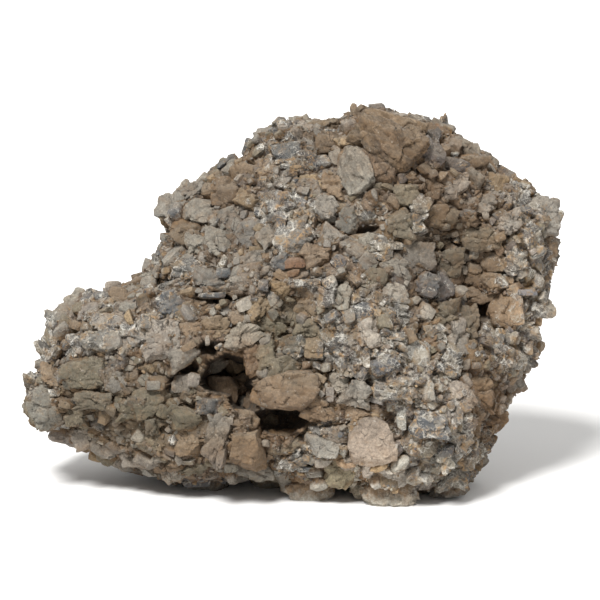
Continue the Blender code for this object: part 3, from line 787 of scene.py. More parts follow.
# %% Throwing the small stones
CHIPS = (
    (-111, 80, 8, 6, 0, "slate"), (-121, 152, 5, 3, 0, "slate"), (-37, 113, 7, 5, 0, "slate"),
    (-43, 102, 14, 3, 0, "slate"), (-18, 158, 5, 6, 0, "slate"), (-20, 143, 5, 5, 0, "slate"),
    (-9, 137, 5, 7, 0, "slate"), (121, 152, 10, 4, -20, "slate"), (112, 144, 6, 4, 0, "slate"),
    (84, 143, 7, 4, 0, "slate"), (27, 120, 4, 3, 0, "slate"), (76, 102, 5, 4, 0, "slate"),
    (112, 104, 10, 3, 0, "slate"), (-18, 107, 5, 6, 0, "slate"), (16, 92, 5, 8, -50, "slate"),
    (2, 17, 8, 3, 0, "slate"), (43, 93, 5, 8, 70, "slate"), (46, 51, 5, 4, 0, "slate"),
    (68, 67, 4, 6, 0, "slate"), (71, 26, 8, 6, 0, "slate"), (80, 10, 10, 8, 0, "slate"),
    (-26, 91, 4, 4, 0, "light"), (-52, 61, 7, 7, 0, "light"), (13, 67, 5, 5, 0, "light"),
    (-3, 108, 3, 4, 0, "light"), (14, 54, 5, 8, 0, "light"), (-17, 30, 4, 4, 0, "light"),
    (11, 21, 8, 6, 0, "light"), (-14, 12, 6, 5, 0, "grey"), (-25, 7, 5, 4, 0, "grey"),
    (-34, 18, 7, 5, 0, "grey"), (-9, 112, 5, 7, 50, "tan"), (-6, 110, 3, 6, 30, "tan"),
    (-3, 113, 6, 4, 0, "rust"), (-2, 118, 10, 6, 0, "rust"), (27, 100, 5, 5, 0, "tan"),
    (-66, 114, 5, 4, 0, "tan"), (81, 115, 3, 5, 0, "light"), (86, 123, 5, 5, 0, "cream"),
    (81, 69, 4, 8, 0, "light"), (81, 62, 4, 5, 0, "light"), (69, 8, 6, 5, 0, "tan"),
    (-21, 124, 7, 4, 0, "tan"), (36, 93, 7, 4, 0, "tan"), (33, 71, 4, 7, 0, "tan"),
    (3, 68, 4, 4, 0, "rust"), (50, 42, 5, 10, 0, "cream"),
)
CHIP_SEED = SHAPE_SEED + 500
CHIP_PROUD = 0.75
NEIGHBOUR_ROOM = 1.08
FILL_TIERS = (
    {"seed": 300, "tries": 3000, "sizes": (9.0, 18.0), "room": 0.86, "faces": 8, "proud": 0.38},
    {"seed": 301, "tries": 5200, "sizes": (4.5, 9.0), "room": 0.78, "faces": 7, "proud": 0.40},
    {"seed": 302, "tries": 13000, "sizes": (2.2, 4.6), "room": 0.85, "faces": 7, "proud": 0.45},
)
FILL_FLATNESS = (0.45, 1.0)
FILL_LEAN = (-90, 90)
FILL_TILT = 0.45
CAVE_CLEARANCE = 0.35


def near_cave(points):
    """True where (a, b) lies inside a cave's ellipse, widened a little, on the front."""
    shares = [cave_share(points, row, CAVE_CLEARANCE) for row in HOLLOWS]
    return (np.max(shares, axis=0) > 0) & (points[:, 2] > 0)


def fill_stones(tier, centres, radii):
    """Throws stones of one size tier and keeps each that has room beside all those before it."""
    dice = np.random.default_rng(tier["seed"])
    tries = tier["tries"]
    directions = unit(dice.normal(0, 1, (tries, 3)))
    size = dice.uniform(*tier["sizes"], tries)
    flat = dice.uniform(*FILL_FLATNESS, tries)
    lean = dice.uniform(*FILL_LEAN, tries)
    places, normals, _, _ = ground_points(directions)
    spots = np.concatenate([centres, np.zeros((tries, 3))])
    reach_of = np.concatenate([radii, np.zeros(tries)])
    total = len(centres)
    kept = []
    for index in np.flatnonzero(~near_cave(places)):
        gaps = np.linalg.norm(spots[:total] - places[index], axis=1)
        if (gaps > tier["room"] * (reach_of[:total] + size[index] / 2)).all():
            spots[total] = places[index]
            reach_of[total] = size[index] / 2
            total += 1
            kept.append(index)
    width, height = size[kept], size[kept] * flat[kept]
    tilt = dice.normal(0, FILL_TILT, (len(kept), 3))
    axes = stone_frames(unit(normals[kept] + tilt), lean[kept], normals[kept])
    planes = [stone_planes(tier["faces"], dice) for _ in kept]
    kinds = dice.choice(MIXED_KINDS, len(kept), p=MIXED_SHARES)
    stones = stone_set(places[kept], axes, (width, height), tier["proud"], planes, kinds)
    return stones, spots[:total], reach_of[:total]


chips = front_stones(CHIPS, BLOCK_FACES, CHIP_PROUD, CHIP_SEED)
large = join_sets(pebbles, blocks, back, feet)
taken = join_sets(large, chips)
spots = taken["centre"]
spot_radii = taken["half"][:, :2].mean(axis=1) * NEIGHBOUR_ROOM
tiers = []
for tier in FILL_TIERS:
    thrown, spots, spot_radii = fill_stones(tier, spots, spot_radii)
    tiers.append(thrown)
rest, medium, small = tiers
print("stones, small stones and chips between them:", [len(thrown["kinds"]) for thrown in tiers])

# %% [markdown]
# ## Cracks between neighbours
#
# Stones in breccia don't pass through each other: they meet at thin cracks. Each large stone gets one
# more plane for each near neighbour, across the line between their middles, so it stops half a crack
# short of it. The planes are shared out by size, so a big stone isn't cut back by a small one. The
# stones are drawn a little wider than they are in the solid, so that these planes are what ends them.

# %% Neighbour planes
CRACK = 0.5
NEIGHBOURS = 8
NEAR = 1.3
SAME_PLACE = 0.001
PLANE_JITTER = 0.10
LEAST_REACH = 0.55
WIDER = 1.18
WIDE_HALF = 10.0
PROUD_CHANCE = (-1.7, 1.8)
BACK_CHANCE = (-4.0, -0.4)
# How many planes break off corners, and how far out they lie, on broken and on rounded stones.
CHIPPED = (6, (0.72, 1.04))
WORN = (3, (0.84, 1.02))
DETAILED = 10


def neighbour_planes(stones, others_centre, others_radius, seed):
    """Planes at distance * r / (r + r_other) - crack / 2, written in each stone's own scaled axes."""
    dice = np.random.default_rng(seed)
    radius = stones["half"][:, :2].mean(axis=1)
    found = np.zeros((len(radius), NEIGHBOURS, 3))
    for index in range(len(radius)):
        away = others_centre - stones["centre"][index]
        gap = np.linalg.norm(away, axis=1)
        near = np.flatnonzero((gap > SAME_PLACE) & (gap < NEAR * (radius[index] + others_radius)))
        near = near[np.argsort(gap[near])][:NEIGHBOURS]
        distance = gap[near] * radius[index] / (radius[index] + others_radius[near]) - CRACK / 2
        distance = np.maximum(distance, LEAST_REACH * radius[index])
        jitter = dice.normal(0, PLANE_JITTER, (len(near), 3))
        toward = unit(away[near] / gap[near, None] + jitter)
        local = (toward @ stones["axes"][index].T) * stones["half"][index]
        found[index, : len(near)] = local / distance[:, None]
    return found


def chipped_planes(count, extra, reaches, seed):
    """More planes in random directions, which break off the corners that a turned cube leaves."""
    dice = np.random.default_rng(seed)
    return unit(dice.normal(0, 1, (count, extra, 3))) / dice.uniform(*reaches, (count, extra, 1))


# %% The surfaces of the stones
# The facets have the same numbers as the ground's: size, seed, slope, step and crack.
BROAD_FACETS = (8.5, 201, 0.26, 0.75, 0.6)
FINE_FACETS = (3.2, 231, 0.26, 0.2, 0.26)
PATTERN_SHIFT = 3
WORN_HEIGHT, WORN_SIZE, WORN_SEED = 0.03, 3.4, 41
FINE_HEIGHT, FINE_SIZE, FINE_SEED = 0.13, 1.2, 43
EDGE_POWER = 44.0
ROUNDNESS = 0.3
ROUND_REACH = 0.96
CRUST_ROUGHER = 1.9
ROUGH_RANGE = (0.35, 1.25)


def stone_surfaces(stones, steps, extra, roundness):
    """Radius (sum of max(0, g . d)^p)^(-1/p) over every plane g, part of the way to a ball's, placed."""
    directions, squares = cube_ball(steps)
    box = np.concatenate([np.eye(3), -np.eye(3)]) / BOX_REACH
    box = np.tile(box, (len(stones["kinds"]), 1, 1))
    planes = np.concatenate([stones["planes"], box, *extra], axis=1)
    met = np.maximum(0, np.einsum("vc,nkc->nvk", directions, planes))
    radius = (met**EDGE_POWER).sum(axis=2) ** (-1 / EDGE_POWER)
    radius += roundness * (ROUND_REACH - radius)
    local = directions * radius[..., None]
    place = local * stones["half"][:, None]
    offset = stones["centre"][:, None]
    pattern = place + offset * PATTERN_SHIFT
    worn = 1 + WORN_HEIGHT * rough(pattern, WORN_SIZE, 2, WORN_SEED)
    if steps >= DETAILED:
        broad, _ = facets(pattern, *BROAD_FACETS)
        fine, _ = facets(pattern, *FINE_FACETS)
        size = np.cbrt(stones["half"].prod(axis=1))[:, None]
        rougher = np.random.default_rng(steps).uniform(*ROUGH_RANGE, len(stones["kinds"]))
        rougher = np.where(np.array(stones["kinds"]) == "crust", CRUST_ROUGHER, rougher)
        worn += rougher[:, None] * (broad + fine) / size
        worn += FINE_HEIGHT * value_noise(pattern, FINE_SIZE, FINE_SEED) / size
    world = offset + np.einsum("nvc,ncd->nvd", place * worn[..., None], stones["axes"])
    count = np.arange(len(stones["kinds"]))[:, None, None] * len(directions)
    return world, local, (squares[None] + count).reshape(-1, 4)


def part_of(stones, chosen):
    """The stones with the given numbers."""
    part = {key: stones[key][chosen] for key in ARRAYS}
    part["kinds"] = [stones["kinds"][number] for number in chosen]
    return part


def settled(stones, chance, seed):
    """Wider and taller but no deeper, large ones by a third as much, and moved out or in by chance."""
    dice = np.random.default_rng(seed)
    move = dice.uniform(*chance, (len(stones["kinds"]), 1))
    centre = stones["centre"] + stones["axes"][:, 2] * move
    wide = np.where(stones["half"].max(axis=1) > WIDE_HALF, 1 + (WIDER - 1) / 3, WIDER)[:, None]
    return {**stones, "centre": centre, "half": stones["half"] * np.where([1, 1, 0], wide, 1.0)}


large = sink(large)
everyone = join_sets(large, chips)
all_radii = everyone["half"][:, :2].mean(axis=1)
print(len(large["kinds"]), "large stones,", len(everyone["kinds"]), "that push on them")

# %% [markdown]
# ## Colours of the stones
#
# Every stone has one base colour from its kind, made a little lighter or darker by chance, then
# stained by the zones that it lies in, and painted paler or darker in the zones of painted light and
# shade. The kinds are close to each other, because dust and a film of clay lie on all of them. sRGB
# hex colours are turned to the linear numbers that the renderer adds up in.

# %% Colours by kind
KIND_COLOURS = {
    "grey": "#79746b", "light": "#878075", "brown": "#705e49", "olive": "#655d4c",
    "slate": "#4d4f51", "crust": "#7b7468", "tan": "#806c51", "rust": "#725640", "cream": "#aba497",
    "buff": "#71675a",
}
BROWN_STAIN = "#60482f"
BROWN_SOAK = 0.85
OLIVE_STAIN = "#504937"
OLIVE_SOAK = 0.75
SOAKS = (0.4, 1.0)
# Strength of the painted light and shade.
PAINTED_LIGHT_GAIN = 0.4
BRIGHTNESS_CHANCE = 0.11
HUE_CHANCE = 0.012
OWN_CRUST = {"crust": 0.55, "cream": 0.5, "slate": 0.25}
CRUST_TAKEN = (0.1, 0.9)
# Clay colour, and painted shade, on the part of each stone that sinks into the clay.
CLAY_AND_SHADE_LEVEL = 0.70
CLAY_AND_SHADE_FALL = 1.05


def linear(hex_colour):
    """sRGB hex to linear: below 0.04045 divide by 12.92, above it a power of 2.4."""
    channels = np.array([int(hex_colour[place : place + 2], 16) / 255 for place in (1, 3, 5)])
    return np.where(channels <= 0.04045, channels / 12.92, ((channels + 0.055) / 1.055) ** 2.4)


def blend_to(colours, hex_colour, amount):
    """Each colour moved toward one colour by its own amount."""
    return colours + (linear(hex_colour) - colours) * amount[..., None]


def stained_with_painted_light(colours, surface, soak):
    """Toward brown and olive in their zones, by how much the stone soaks up, then painted paler or darker
    as light and shade.
    """
    brown = BROWN_SOAK * soak * zone(surface, BROWN_ZONES, BROWN_SEED)
    olive = OLIVE_SOAK * soak * zone(surface, OLIVE_ZONES, OLIVE_SEED)
    colours = blend_to(blend_to(colours, BROWN_STAIN, brown), OLIVE_STAIN, olive)
    # Painted light and shade: paler or darker by place, on the front only.
    painted_light = swell(surface[..., 0], surface[..., 1], PAINTED_LIGHT_ZONES) * front_share(surface)
    return colours * np.exp(PAINTED_LIGHT_GAIN * painted_light)[..., None]


def stone_colours(kinds, surface, seed):
    """Kind colour times a chance brightness, then the stains of the zone and its painted light and shade.
    """
    dice = np.random.default_rng(seed)
    base = np.array([linear(KIND_COLOURS[kind]) for kind in kinds])
    base = base * np.exp(dice.normal(0, BRIGHTNESS_CHANCE, (len(base), 1)))
    base = base * np.exp(dice.normal(0, HUE_CHANCE, (len(base), 3)))
    colours = np.repeat(base[:, None], surface.shape[1], axis=1)
    return stained_with_painted_light(colours, surface, dice.uniform(*SOAKS, (len(base), 1)))


def crust_amount(kinds, surface, seed):
    """How much lime crust: by kind, and by the crust zones for all of them."""
    dice = np.random.default_rng(seed)
    own = np.array([OWN_CRUST.get(kind, 0.0) for kind in kinds])
    takes = dice.uniform(*CRUST_TAKEN, len(own))
    return np.clip(own[:, None] + takes[:, None] * zone(surface, CRUST_ZONES, CRUST_SEED), 0, 1)


def clay_and_shade_amount(local):
    """Clay and painted shade: 1 where a stone sinks into the clay and 0 at its outer face."""
    return np.clip(CLAY_AND_SHADE_LEVEL - local[..., 2] * CLAY_AND_SHADE_FALL, 0, 1)


print("grey stone in linear numbers:", linear(KIND_COLOURS["grey"]).round(3))

# %% [markdown]
# ## Making the pieces
#
# The feet are pressed flat at the ground, because a rock that stands in a tank wears there. The
# stones of one size are one mesh or a few, so that a viewer has few objects to load. Edges sharper
# than thirty degrees stay sharp, and the rest is shaded smoothly. Dust settles on what faces up.

# %% Helpers for every piece
SHARP_EDGE = math.radians(30)
DUST = "#8b8171"
DUST_SHARE = 0.35
rock_pieces = []


def press_flat(points):
    """Nothing goes below the ground."""
    placed = to_frame(points)
    placed[..., 2] = np.maximum(placed[..., 2], 0.0)
    return placed


def up_share(piece):
    """How far each vertex faces up, from -1 to 1."""
    normals = np.empty(len(piece.data.vertices) * 3, np.float32)
    piece.data.vertex_normals.foreach_get("vector", normals)
    return normals.reshape(-1, 3)[:, 2]


def finish_piece(piece, surface, tint, crust, clay_and_shade):
    """Stores the colours and moves tops toward dust, where it settles."""
    surface = surface.reshape(-1, 3)
    paint(piece, "grooved", zone(surface, GROOVED_ZONES, GROOVED_SEED) * (surface[:, 2] > 0))
    dust = DUST_SHARE * np.clip(up_share(piece), 0, 1) * (1 - clay_and_shade)
    paint(piece, "tint", blend_to(tint, DUST, dust))
    paint(piece, "crust", crust)
    paint(piece, "clay_and_shade", clay_and_shade)
    rock_pieces.append(piece)


def build_stones(name, stones, steps, seed, extra=(), roundness=0.0, flat=False):
    """One mesh of many stones, with its colours, crust, and clay with painted shade stored on it."""
    surface, local, squares = stone_surfaces(stones, steps, extra, roundness)
    piece = make_mesh(name, press_flat(surface).reshape(-1, 3), squares)
    if flat:
        piece.data.shade_flat()
    else:
        piece.data.set_sharp_from_angle(angle=SHARP_EDGE)
    tint = stone_colours(stones["kinds"], surface, seed).reshape(-1, 3)
    crust = crust_amount(stones["kinds"], surface, seed + 1).reshape(-1)
    finish_piece(piece, surface, tint, crust, clay_and_shade_amount(local).reshape(-1))
    print(name, len(stones["kinds"]), "stones,", 2 * len(squares), "triangles")


# %% [markdown]
# ## The ground, in six pieces
#
# One ball of 240,000 squares would be too heavy for a viewer, so it is parted along the edges of the
# ruled cube. Neighbouring pieces have the same points along their border, so no gap shows. Each cell
# of the ground gets the colour of a kind of stone, clay over it, and painted shade down in the caves.

# %% Build the ground
SIDE_NAMES = ("left", "right", "bottom", "top", "back", "front")
GROUND_KIND_SEED = 211
GROUND_SHADE_SEED = 212
GROUND_SHADES = 0.22
CLAY_BROWN = "#664a2e"
CLAY_ON_WHOLE = 0.25
CLAY_ON_RUBBLE = 0.5
# Painted shade: the ground is painted darker the deeper it lies in a cave.
CAVE_PAINTED_SHADE = 0.10
GROUND_CRUST = 0.9
GROUND_DIRT = 0.22


def ground_colours(surface, home, whole, how_deep):
    """The cell's kind of stone, by its number, then clay, stains and painted light, and painted shade
    exp(-strength * depth of the cave).
    """
    kind_number = corner_number(home, GROUND_KIND_SEED)
    kind_place = np.searchsorted(np.cumsum(MIXED_SHARES), kind_number).clip(0, len(MIXED_KINDS) - 1)
    tint = np.array([linear(KIND_COLOURS[kind]) for kind in MIXED_KINDS])[kind_place]
    tint = tint * np.exp(GROUND_SHADES * (corner_number(home, GROUND_SHADE_SEED) - 0.5))[:, None]
    tint = blend_to(tint, CLAY_BROWN, np.where(whole, CLAY_ON_WHOLE, CLAY_ON_RUBBLE))
    return stained_with_painted_light(tint, surface, np.ones(len(surface))) * np.exp(-CAVE_PAINTED_SHADE * how_deep)[:, None]


ball, ball_squares = cube_ball(GROUND_STEPS)
uncarved, _, ground_home, ground_whole = ground_points(ball)
ground_surface = carve(uncarved.copy())
how_deep = uncarved[:, 2] - ground_surface[:, 2]
ground_tint = ground_colours(ground_surface, ground_home, ground_whole, how_deep)
ground_crust = GROUND_CRUST * zone(ground_surface, CRUST_ZONES, CRUST_SEED) * np.exp(-how_deep)
in_frame = press_flat(ground_surface)
for name, squares in zip(SIDE_NAMES, np.split(ball_squares, len(SIDE_NAMES))):
    used, squares = np.unique(squares, return_inverse=True)
    piece = make_mesh("ground_" + name, in_frame[used], squares.reshape(-1, 4))
    piece.data.set_sharp_from_angle(angle=SHARP_EDGE)
    clay_and_shade = np.full(len(used), GROUND_DIRT)
    finish_piece(piece, ground_surface[used], ground_tint[used], ground_crust[used], clay_and_shade)
print("ground:", 2 * len(ball_squares), "triangles in", len(SIDE_NAMES), "pieces")

# %% [markdown]
# ## The stones, by size
#
# A stone that is large in the picture gets many squares, and one of a few millimetres only a few.
# So the stones are sorted by place and size first, and each sort is built with its own ruled cube.

# %% Build the stones
FRONT_ALL = len(pebbles["kinds"]) + len(blocks["kinds"])
BIG_STONE = 18.5
SPLIT_AT = 5.0
SETTLE_SEED = 440
NEIGHBOUR_SEED = 400
CHIPPING_SEED = 420
COLOUR_SEED = 51
REST_SEED = CHIPPING_SEED + 10

longest = large["half"].max(axis=1) * 2
numbers = np.arange(len(longest))
in_front = numbers < FRONT_ALL
is_foot = numbers >= len(longest) - len(FEET)
is_round = numbers < len(pebbles["kinds"])
is_big = longest > BIG_STONE
broken = in_front & ~is_round & ~is_big
is_left = large["centre"][:, 0] < SPLIT_AT
# Which stones, steps of the ruled cube, share of the way to a ball.
runs = {
    "big_rounded_stones": (is_round & is_big, 26, ROUNDNESS),
    "big_broken_stones": (in_front & ~is_round & is_big, 26, 0.0),
    "rounded_stones": (is_round & ~is_big, 14, ROUNDNESS),
    "broken_stones_left": (broken & is_left, 14, 0.0),
    "broken_stones_right": (broken & ~is_left, 14, 0.0),
    "back_stones": (~in_front & ~is_foot, 13, 0.0),
    "feet": (is_foot, 16, 0.0),
}
for number, (name, (chosen, steps, roundness)) in enumerate(runs.items()):
    chance = BACK_CHANCE if name == "back_stones" else PROUD_CHANCE
    stones = settled(part_of(large, np.flatnonzero(chosen)), chance, SETTLE_SEED + number)
    chipping = WORN if roundness else CHIPPED
    extra = [
        neighbour_planes(stones, everyone["centre"], all_radii, NEIGHBOUR_SEED + number),
        chipped_planes(len(stones["kinds"]), *chipping, CHIPPING_SEED + number),
    ]
    build_stones(name, stones, steps, COLOUR_SEED + 2 * number, extra, roundness)
rest_extra = [chipped_planes(len(rest["kinds"]), *CHIPPED, REST_SEED)]
build_stones("stones_of_the_rim", rest, 10, COLOUR_SEED + 14, rest_extra)
build_stones("small_stones", join_sets(chips, medium), 4, COLOUR_SEED + 10, flat=True)
build_stones("stone_chips", small, 2, COLOUR_SEED + 12, flat=True)

# %% [markdown]
# ## Grit
#
# The clay holds coarse sand: grains of one to two millimetres of the same stones. Each is a ruled cube
# of one square a side, pulled out of shape, because from here a grain is two or three pixels.

# %% Grit
GRIT_COUNT = 14000
GRIT_SIZES = (0.8, 2.4)
GRIT_BENT = (0.7, 1.25)
GRIT_LIFT = 0.25
GRIT_DIRT = 0.2
GRIT_SEED = 61


def turned_cubes(count, dice):
    """Cubes of random size and shape, turned by unit quaternions w, x, y, z."""
    corners, squares = cube_ball(1)
    sizes = dice.uniform(*GRIT_SIZES, (count, 1, 3)) / 2
    shape = corners[None] * sizes * dice.uniform(*GRIT_BENT, (count, 8, 1))
    w, x, y, z = unit(dice.normal(0, 1, (count, 4))).T
    rows = [
        [1 - 2 * (y * y + z * z), 2 * (x * y - z * w), 2 * (x * z + y * w)],
        [2 * (x * y + z * w), 1 - 2 * (x * x + z * z), 2 * (y * z - x * w)],
        [2 * (x * z - y * w), 2 * (y * z + x * w), 1 - 2 * (x * x + y * y)],
    ]
    return np.einsum("nvc,cdn->nvd", shape, np.array(rows)), squares


def grit_grains(count, seed):
    """Grains thrown over the ground, none of them in a cave."""
    dice = np.random.default_rng(seed)
    places, normals, _, _ = ground_points(unit(dice.normal(0, 1, (count, 3))))
    clear = ~near_cave(places)
    places, normals = places[clear], normals[clear]
    grains, squares = turned_cubes(len(places), dice)
    surface = (places + normals * GRIT_LIFT)[:, None] + grains
    number = np.arange(len(places))[:, None, None] * grains.shape[1]
    kinds = dice.choice(MIXED_KINDS, len(places), p=MIXED_SHARES)
    return surface, kinds, (squares[None] + number).reshape(-1, 4)


grit_surface, grit_kinds, grit_squares = grit_grains(GRIT_COUNT, GRIT_SEED)
grit = make_mesh("grit", press_flat(grit_surface).reshape(-1, 3), grit_squares)
grit.data.shade_flat()
grit_points = len(grit.data.vertices)
grit_tint = stone_colours(grit_kinds, grit_surface, GRIT_SEED + 1).reshape(-1, 3)
finish_piece(grit, grit_surface, grit_tint, np.zeros(grit_points), np.full(grit_points, GRIT_DIRT))
print("grit:", len(grit_kinds), "grains")

# %% [markdown]
# ## The finish of dry breccia
#
# Limestone and slate are rough and matte, with an index of refraction near 1.56 that only shows as a
# faint sheen. Their colour comes from the stored tint, broken up by patches of a few millimetres and
# by sandy grain. Clay and painted shade darken what sinks into the clay. Lime crust is a net of thin
# pale veins round small chips, drawn with cells whose borders are the veins, and bent so that no vein
# runs straight.

# %% One helper for nodes
def add_node(tree, kind, inputs=(), output=0, **settings):
    """Adds a node with its settings; an input, in order or by name, is a number or another's output."""
    node = tree.nodes.new(kind)
    for name, value in settings.items():
        setattr(node, name, value)
    for key, value in inputs.items() if isinstance(inputs, dict) else enumerate(inputs):
        if isinstance(value, bpy.types.NodeSocket):
            tree.links.new(value, node.inputs[key])
        else:
            node.inputs[key].default_value = value
    return node.outputs[output]


def per_metre(size_mm):
    """The texture scale at which one cell or lump is this many millimetres across."""
    return 1000.0 / size_mm


def colour4(hex_colour):
    """A linear colour with an alpha of one."""
    return (*linear(hex_colour), 1.0)


print("a lump of 5 mm is a scale of", per_metre(5.0))

# %% [markdown]
# ## Patterns by their real sizes
#
# Weathering leaves patches of some millimetres, clay dries in lumps of two or three, and lime creeps
# in tongues of five. Each is a noise of that size, spread over the range that it needs. The sand in
# the clay is finer than a pixel of the picture, so its grain is drawn about a millimetre wide.

# %% Noise patterns and nets of lines
NOISE = "ShaderNodeTexNoise"
CELLS = "ShaderNodeTexVoronoi"
RANGE = "ShaderNodeMapRange"
MATHS = "ShaderNodeMath"
MIX = "ShaderNodeMix"

# Size in mm, detail, roughness, then noise from the first number to the second becomes an amount
# from the third to the fourth.
PATTERNS = {
    "weathering": (6.0, 6.0, 0.7, 0.3, 0.7, 0.66, 1.32),
    "iron": (9.0, 5.0, 0.7, 0.5, 0.68, 0.0, 0.38),
    "clay edge": (2.6, 5.0, 0.7, 0.25, 0.75, -0.55, 0.55),
    "clay colour": (2.0, 4.0, 0.8, 0.35, 0.65, 0.0, 1.0),
    "lime edge": (5.0, 5.0, 0.7, 0.3, 0.7, -0.5, 0.5),
    "lime colour": (7.0, 2.0, 0.6, 0.46, 0.60, 0.0, 1.0),
    "vein parts": (4.5, 4.0, 0.6, 0.40, 0.58, 0.0, 1.0),
    "powder": (3.5, 6.0, 0.8, 0.52, 0.67, 0.0, 0.95),
    "specks": (1.7, 3.0, 0.7, 0.64, 0.72, 0.0, 0.45),
    "split parts": (6.0, 3.0, 0.6, 0.52, 0.60, 0.0, 1.0),
    "matteness": (2.0, 3.0, 0.6, 0.3, 0.7, 0.74, 0.95),
}
GRAIN = (3.0, 0.8, 0.3, 0.7, 0.62, 1.36)
RELIEF = {"Scale": per_metre(1.8), "Detail": 6.0, "Roughness": 0.75}
BEND = {"Scale": per_metre(3.0), "Detail": 4.0, "Roughness": 0.7}
BEND_MM = 3.2

# Cell size in mm, width of the line as a share of it, and its strength.
NETS = {
    "wide veins": (5.0, 0.10, 1.0), "thin veins": (1.9, 0.11, 0.9), "splits": (9.0, 0.018, 1.0),
}


def add_patterns(tree, place, bent, grain_mm):
    """Every noise pattern on straight space and every net of lines on bent space, by name."""
    amounts = {}
    for name, (size_mm, detail, roughness, *spread) in {**PATTERNS, "grain": (grain_mm, *GRAIN)}.items():
        lumps = {"Vector": place, "Scale": per_metre(size_mm), "Detail": detail, "Roughness": roughness}
        amounts[name] = add_node(tree, RANGE, (add_node(tree, NOISE, lumps), *spread))
    for name, (size_mm, width, strength) in NETS.items():
        cell = {"Vector": bent, "Scale": per_metre(size_mm)}
        border = add_node(tree, CELLS, cell, "Distance", feature="DISTANCE_TO_EDGE")
        amounts[name] = add_node(tree, RANGE, (border, 0.0, width, strength, 0.0))
    return amounts


print(len(PATTERNS) + 1, "noise patterns and", len(NETS), "nets of lines")

# %% [markdown]
# ## Lime crust and grooves
#
# Hard water leaves pale lime along the edges of small chips. The chips are cells, each of one flat
# colour, and their borders are the veins. The top boulder has long grooves, where its layers have
# weathered, so its noise is drawn out along two of the three axes.

# %% Chips and grooves
CHIP_CELL = 5.0
CHIP_STOPS = (
    (0.0, "#3c3e41"), (0.40, "#6f685d"), (0.52, "#7e705b"), (0.60, "#484746"), (0.80, "#8a8274"),
)
GROOVE_TURN = math.radians(-32)
GROOVE_LENGTHS = (1.0, 8.0, 14.0)
GROOVES = {"Scale": per_metre(2.6), "Detail": 3.0, "Roughness": 0.6}


def chip_colours(tree, bent):
    """One flat colour for each cell, by its number."""
    cell = {"Vector": bent, "Scale": per_metre(CHIP_CELL)}
    number = add_node(tree, CELLS, cell, "Color", feature="F1")
    colours = add_node(tree, "ShaderNodeValToRGB", (number,), "Color")
    ramp = colours.node.color_ramp
    ramp.interpolation = "CONSTANT"
    for index, (position, hex_colour) in enumerate(CHIP_STOPS):
        stop = ramp.elements[index] if index < 2 else ramp.elements.new(position)
        stop.position = position
        stop.color = colour4(hex_colour)
    return colours


def groove_noise(tree, bent):
    """Noise on space that is turned by the grooves' slope and drawn out along them."""
    turn = {"Vector": bent, "Rotation": (0.0, GROOVE_TURN, 0.0), "Scale": GROOVE_LENGTHS}
    along = add_node(tree, "ShaderNodeMapping", turn, vector_type="TEXTURE")
    return add_node(tree, NOISE, {"Vector": along, **GROOVES})


print("chips of", len(CHIP_STOPS), "colours")

# %% [markdown]
# ## Layers of the finish
#
# From below: the stone's own tint with its weathering, iron brown, clay and painted shade in the low
# places, the crust, pale specks, dark splits, and the grooves. What stands out in the real rock, veins
# and grooves, stands out in the bump too, and splits go in.

# %% The breccia material
STONE_IOR = 1.56
IRON = "#6c5133"
CLAY_COLOURS = ("#523b22", "#866844")
LIME_COLOURS = ("#dcd7cb", "#ad8b60")
SPECK = "#b3aa99"
SPLIT = "#33291f"
CLAY_FROM = (0.1, 0.9, 0.0, 0.85)
LIME_FROM = (0.3, 0.6, 0.0, 0.95)
CHIPS_SHOW_BELOW = 0.35
SPLIT_DARK = 0.7
GROOVE_SHADES = (0.35, 0.62, 0.55, 1.2)
VEIN_HEIGHT, SPLIT_HEIGHT, GROOVE_HEIGHT = 0.45, -0.6, 1.6


